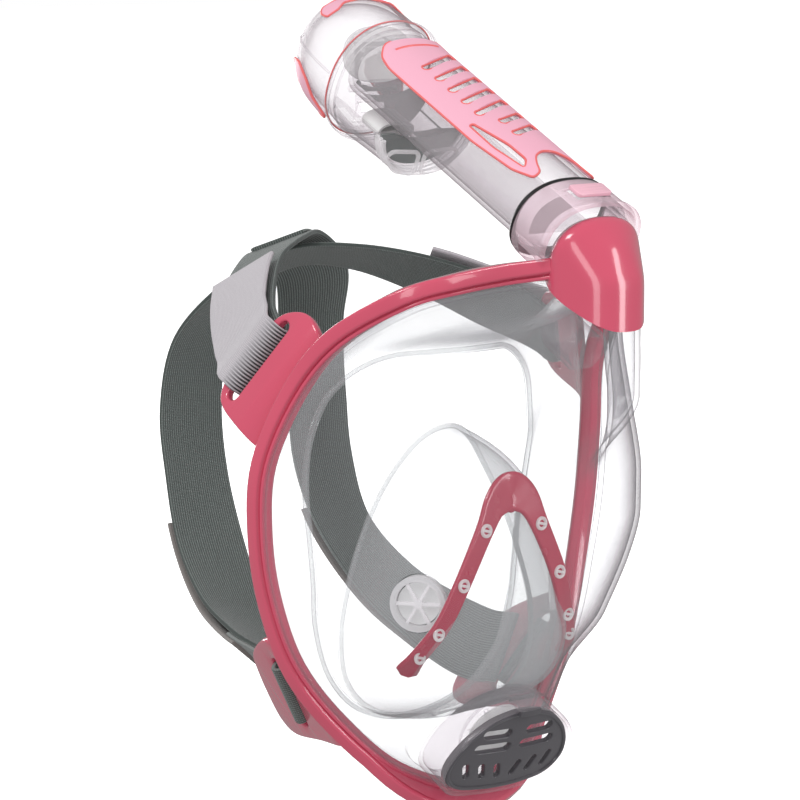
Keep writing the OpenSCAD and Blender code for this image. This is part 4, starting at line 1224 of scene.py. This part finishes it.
def make_camera():
    """Camera at the photograph's view; returns its right, up and back directions."""
    a, e = math.radians(CAMERA_AZIMUTH), math.radians(CAMERA_ELEVATION)
    back = np.array([math.sin(a) * math.cos(e), -math.cos(a) * math.cos(e), math.sin(e)])
    right = np.array([math.cos(a), math.sin(a), 0])
    up = np.cross(back, right)
    camera = bpy.data.objects.new("camera", bpy.data.cameras.new("camera"))
    camera.data.lens, camera.data.sensor_width = FOCAL_LENGTH, SENSOR_WIDTH
    camera.data.clip_start, camera.data.clip_end = 0.05, 50
    turn = Matrix(np.column_stack([right, up, back]).tolist()).to_4x4()
    place_at = (back * CAMERA_AWAY + right * CAMERA_RIGHT + up * CAMERA_UP) * MM
    camera.matrix_world = Matrix.Translation(place_at.tolist()) @ turn
    bpy.context.scene.collection.objects.link(camera)
    bpy.context.scene.camera = camera
    return right, up, back


def soft_light(name, where, size, watts):
    """Area lamp at a place, turned to the object."""
    lamp = bpy.data.lights.new(name, "AREA")
    lamp.shape, lamp.size, lamp.size_y, lamp.energy = "RECTANGLE", size[0], size[1], watts
    obj = bpy.data.objects.new(name, lamp)
    away = unit(where)
    side = unit(np.cross([0, 0, 1], away))
    turn = Matrix(np.column_stack([side, np.cross(away, side), away]).tolist()).to_4x4()
    obj.matrix_world = Matrix.Translation(list(where)) @ turn
    bpy.context.scene.collection.objects.link(obj)


def make_studio(right, up, back):
    """White surround that mirrors see dimmer than the camera does, four lamps and a pale floor."""
    world = bpy.data.worlds.new("studio")
    bpy.context.scene.world = world
    world.use_nodes = True
    nodes, links = world.node_tree.nodes, world.node_tree.links
    seen = nodes.new("ShaderNodeLightPath")
    glossy = math_node(nodes, links, "MULTIPLY", seen.outputs["Is Glossy Ray"], SURROUND_MIRRORED)
    direct = math_node(nodes, links, "MULTIPLY", seen.outputs["Is Camera Ray"], SURROUND_SEEN)
    strength = math_node(nodes, links, "ADD", math_node(nodes, links, "ADD", direct, glossy), SURROUND)
    background = nodes["Background"]
    background.inputs["Color"].default_value = (1, 1, 1, 1)
    links.new(strength, background.inputs["Strength"])
    soft_light("key", -right * 0.9 + up * 1.3 + back * 1.1, (0.9, 0.5), 15)
    soft_light("side", right * 1.5 + up * 0.35 + back * 0.7, (0.35, 1.4), 9)
    soft_light("front", -right * 0.25 + up * 0.1 + back * 1.9, (0.5, 1.1), 5)
    soft_light("rear", -right * 0.8 + up * 0.5 - back * 1.4, (0.8, 0.8), 9)
    low = cad_bounds[0][2] - 0.012
    reach = 9000
    corners = [(x * reach, y * reach, low / MM) for x, y in ((-1, -1), (1, -1), (1, 1), (-1, 1))]
    floor = new_piece("floor", corners, [(0, 1, 2, 3)])
    material, nodes, links, shader = new_material("floor_pale")
    shader.inputs["Base Color"].default_value = (0.9, 0.9, 0.9, 1)
    shader.inputs["Roughness"].default_value = 0.8
    shader.inputs["Emission Color"].default_value = (1, 1, 1, 1)
    shader.inputs["Emission Strength"].default_value = 0.75
    floor.data.materials.append(material)
    floor.visible_glossy = floor.visible_diffuse = False


make_frame()
make_lens()
make_skirt()
make_pocket()
make_stiffener()
make_chin()
make_hood()
make_socket()
make_collar()
make_tube()
make_grip()
make_dry_top()
make_clips()
make_straps()
make_crossing()
dress_cad_nodes()
bpy.context.scene.view_settings.view_transform = "Standard"
make_studio(*make_camera())
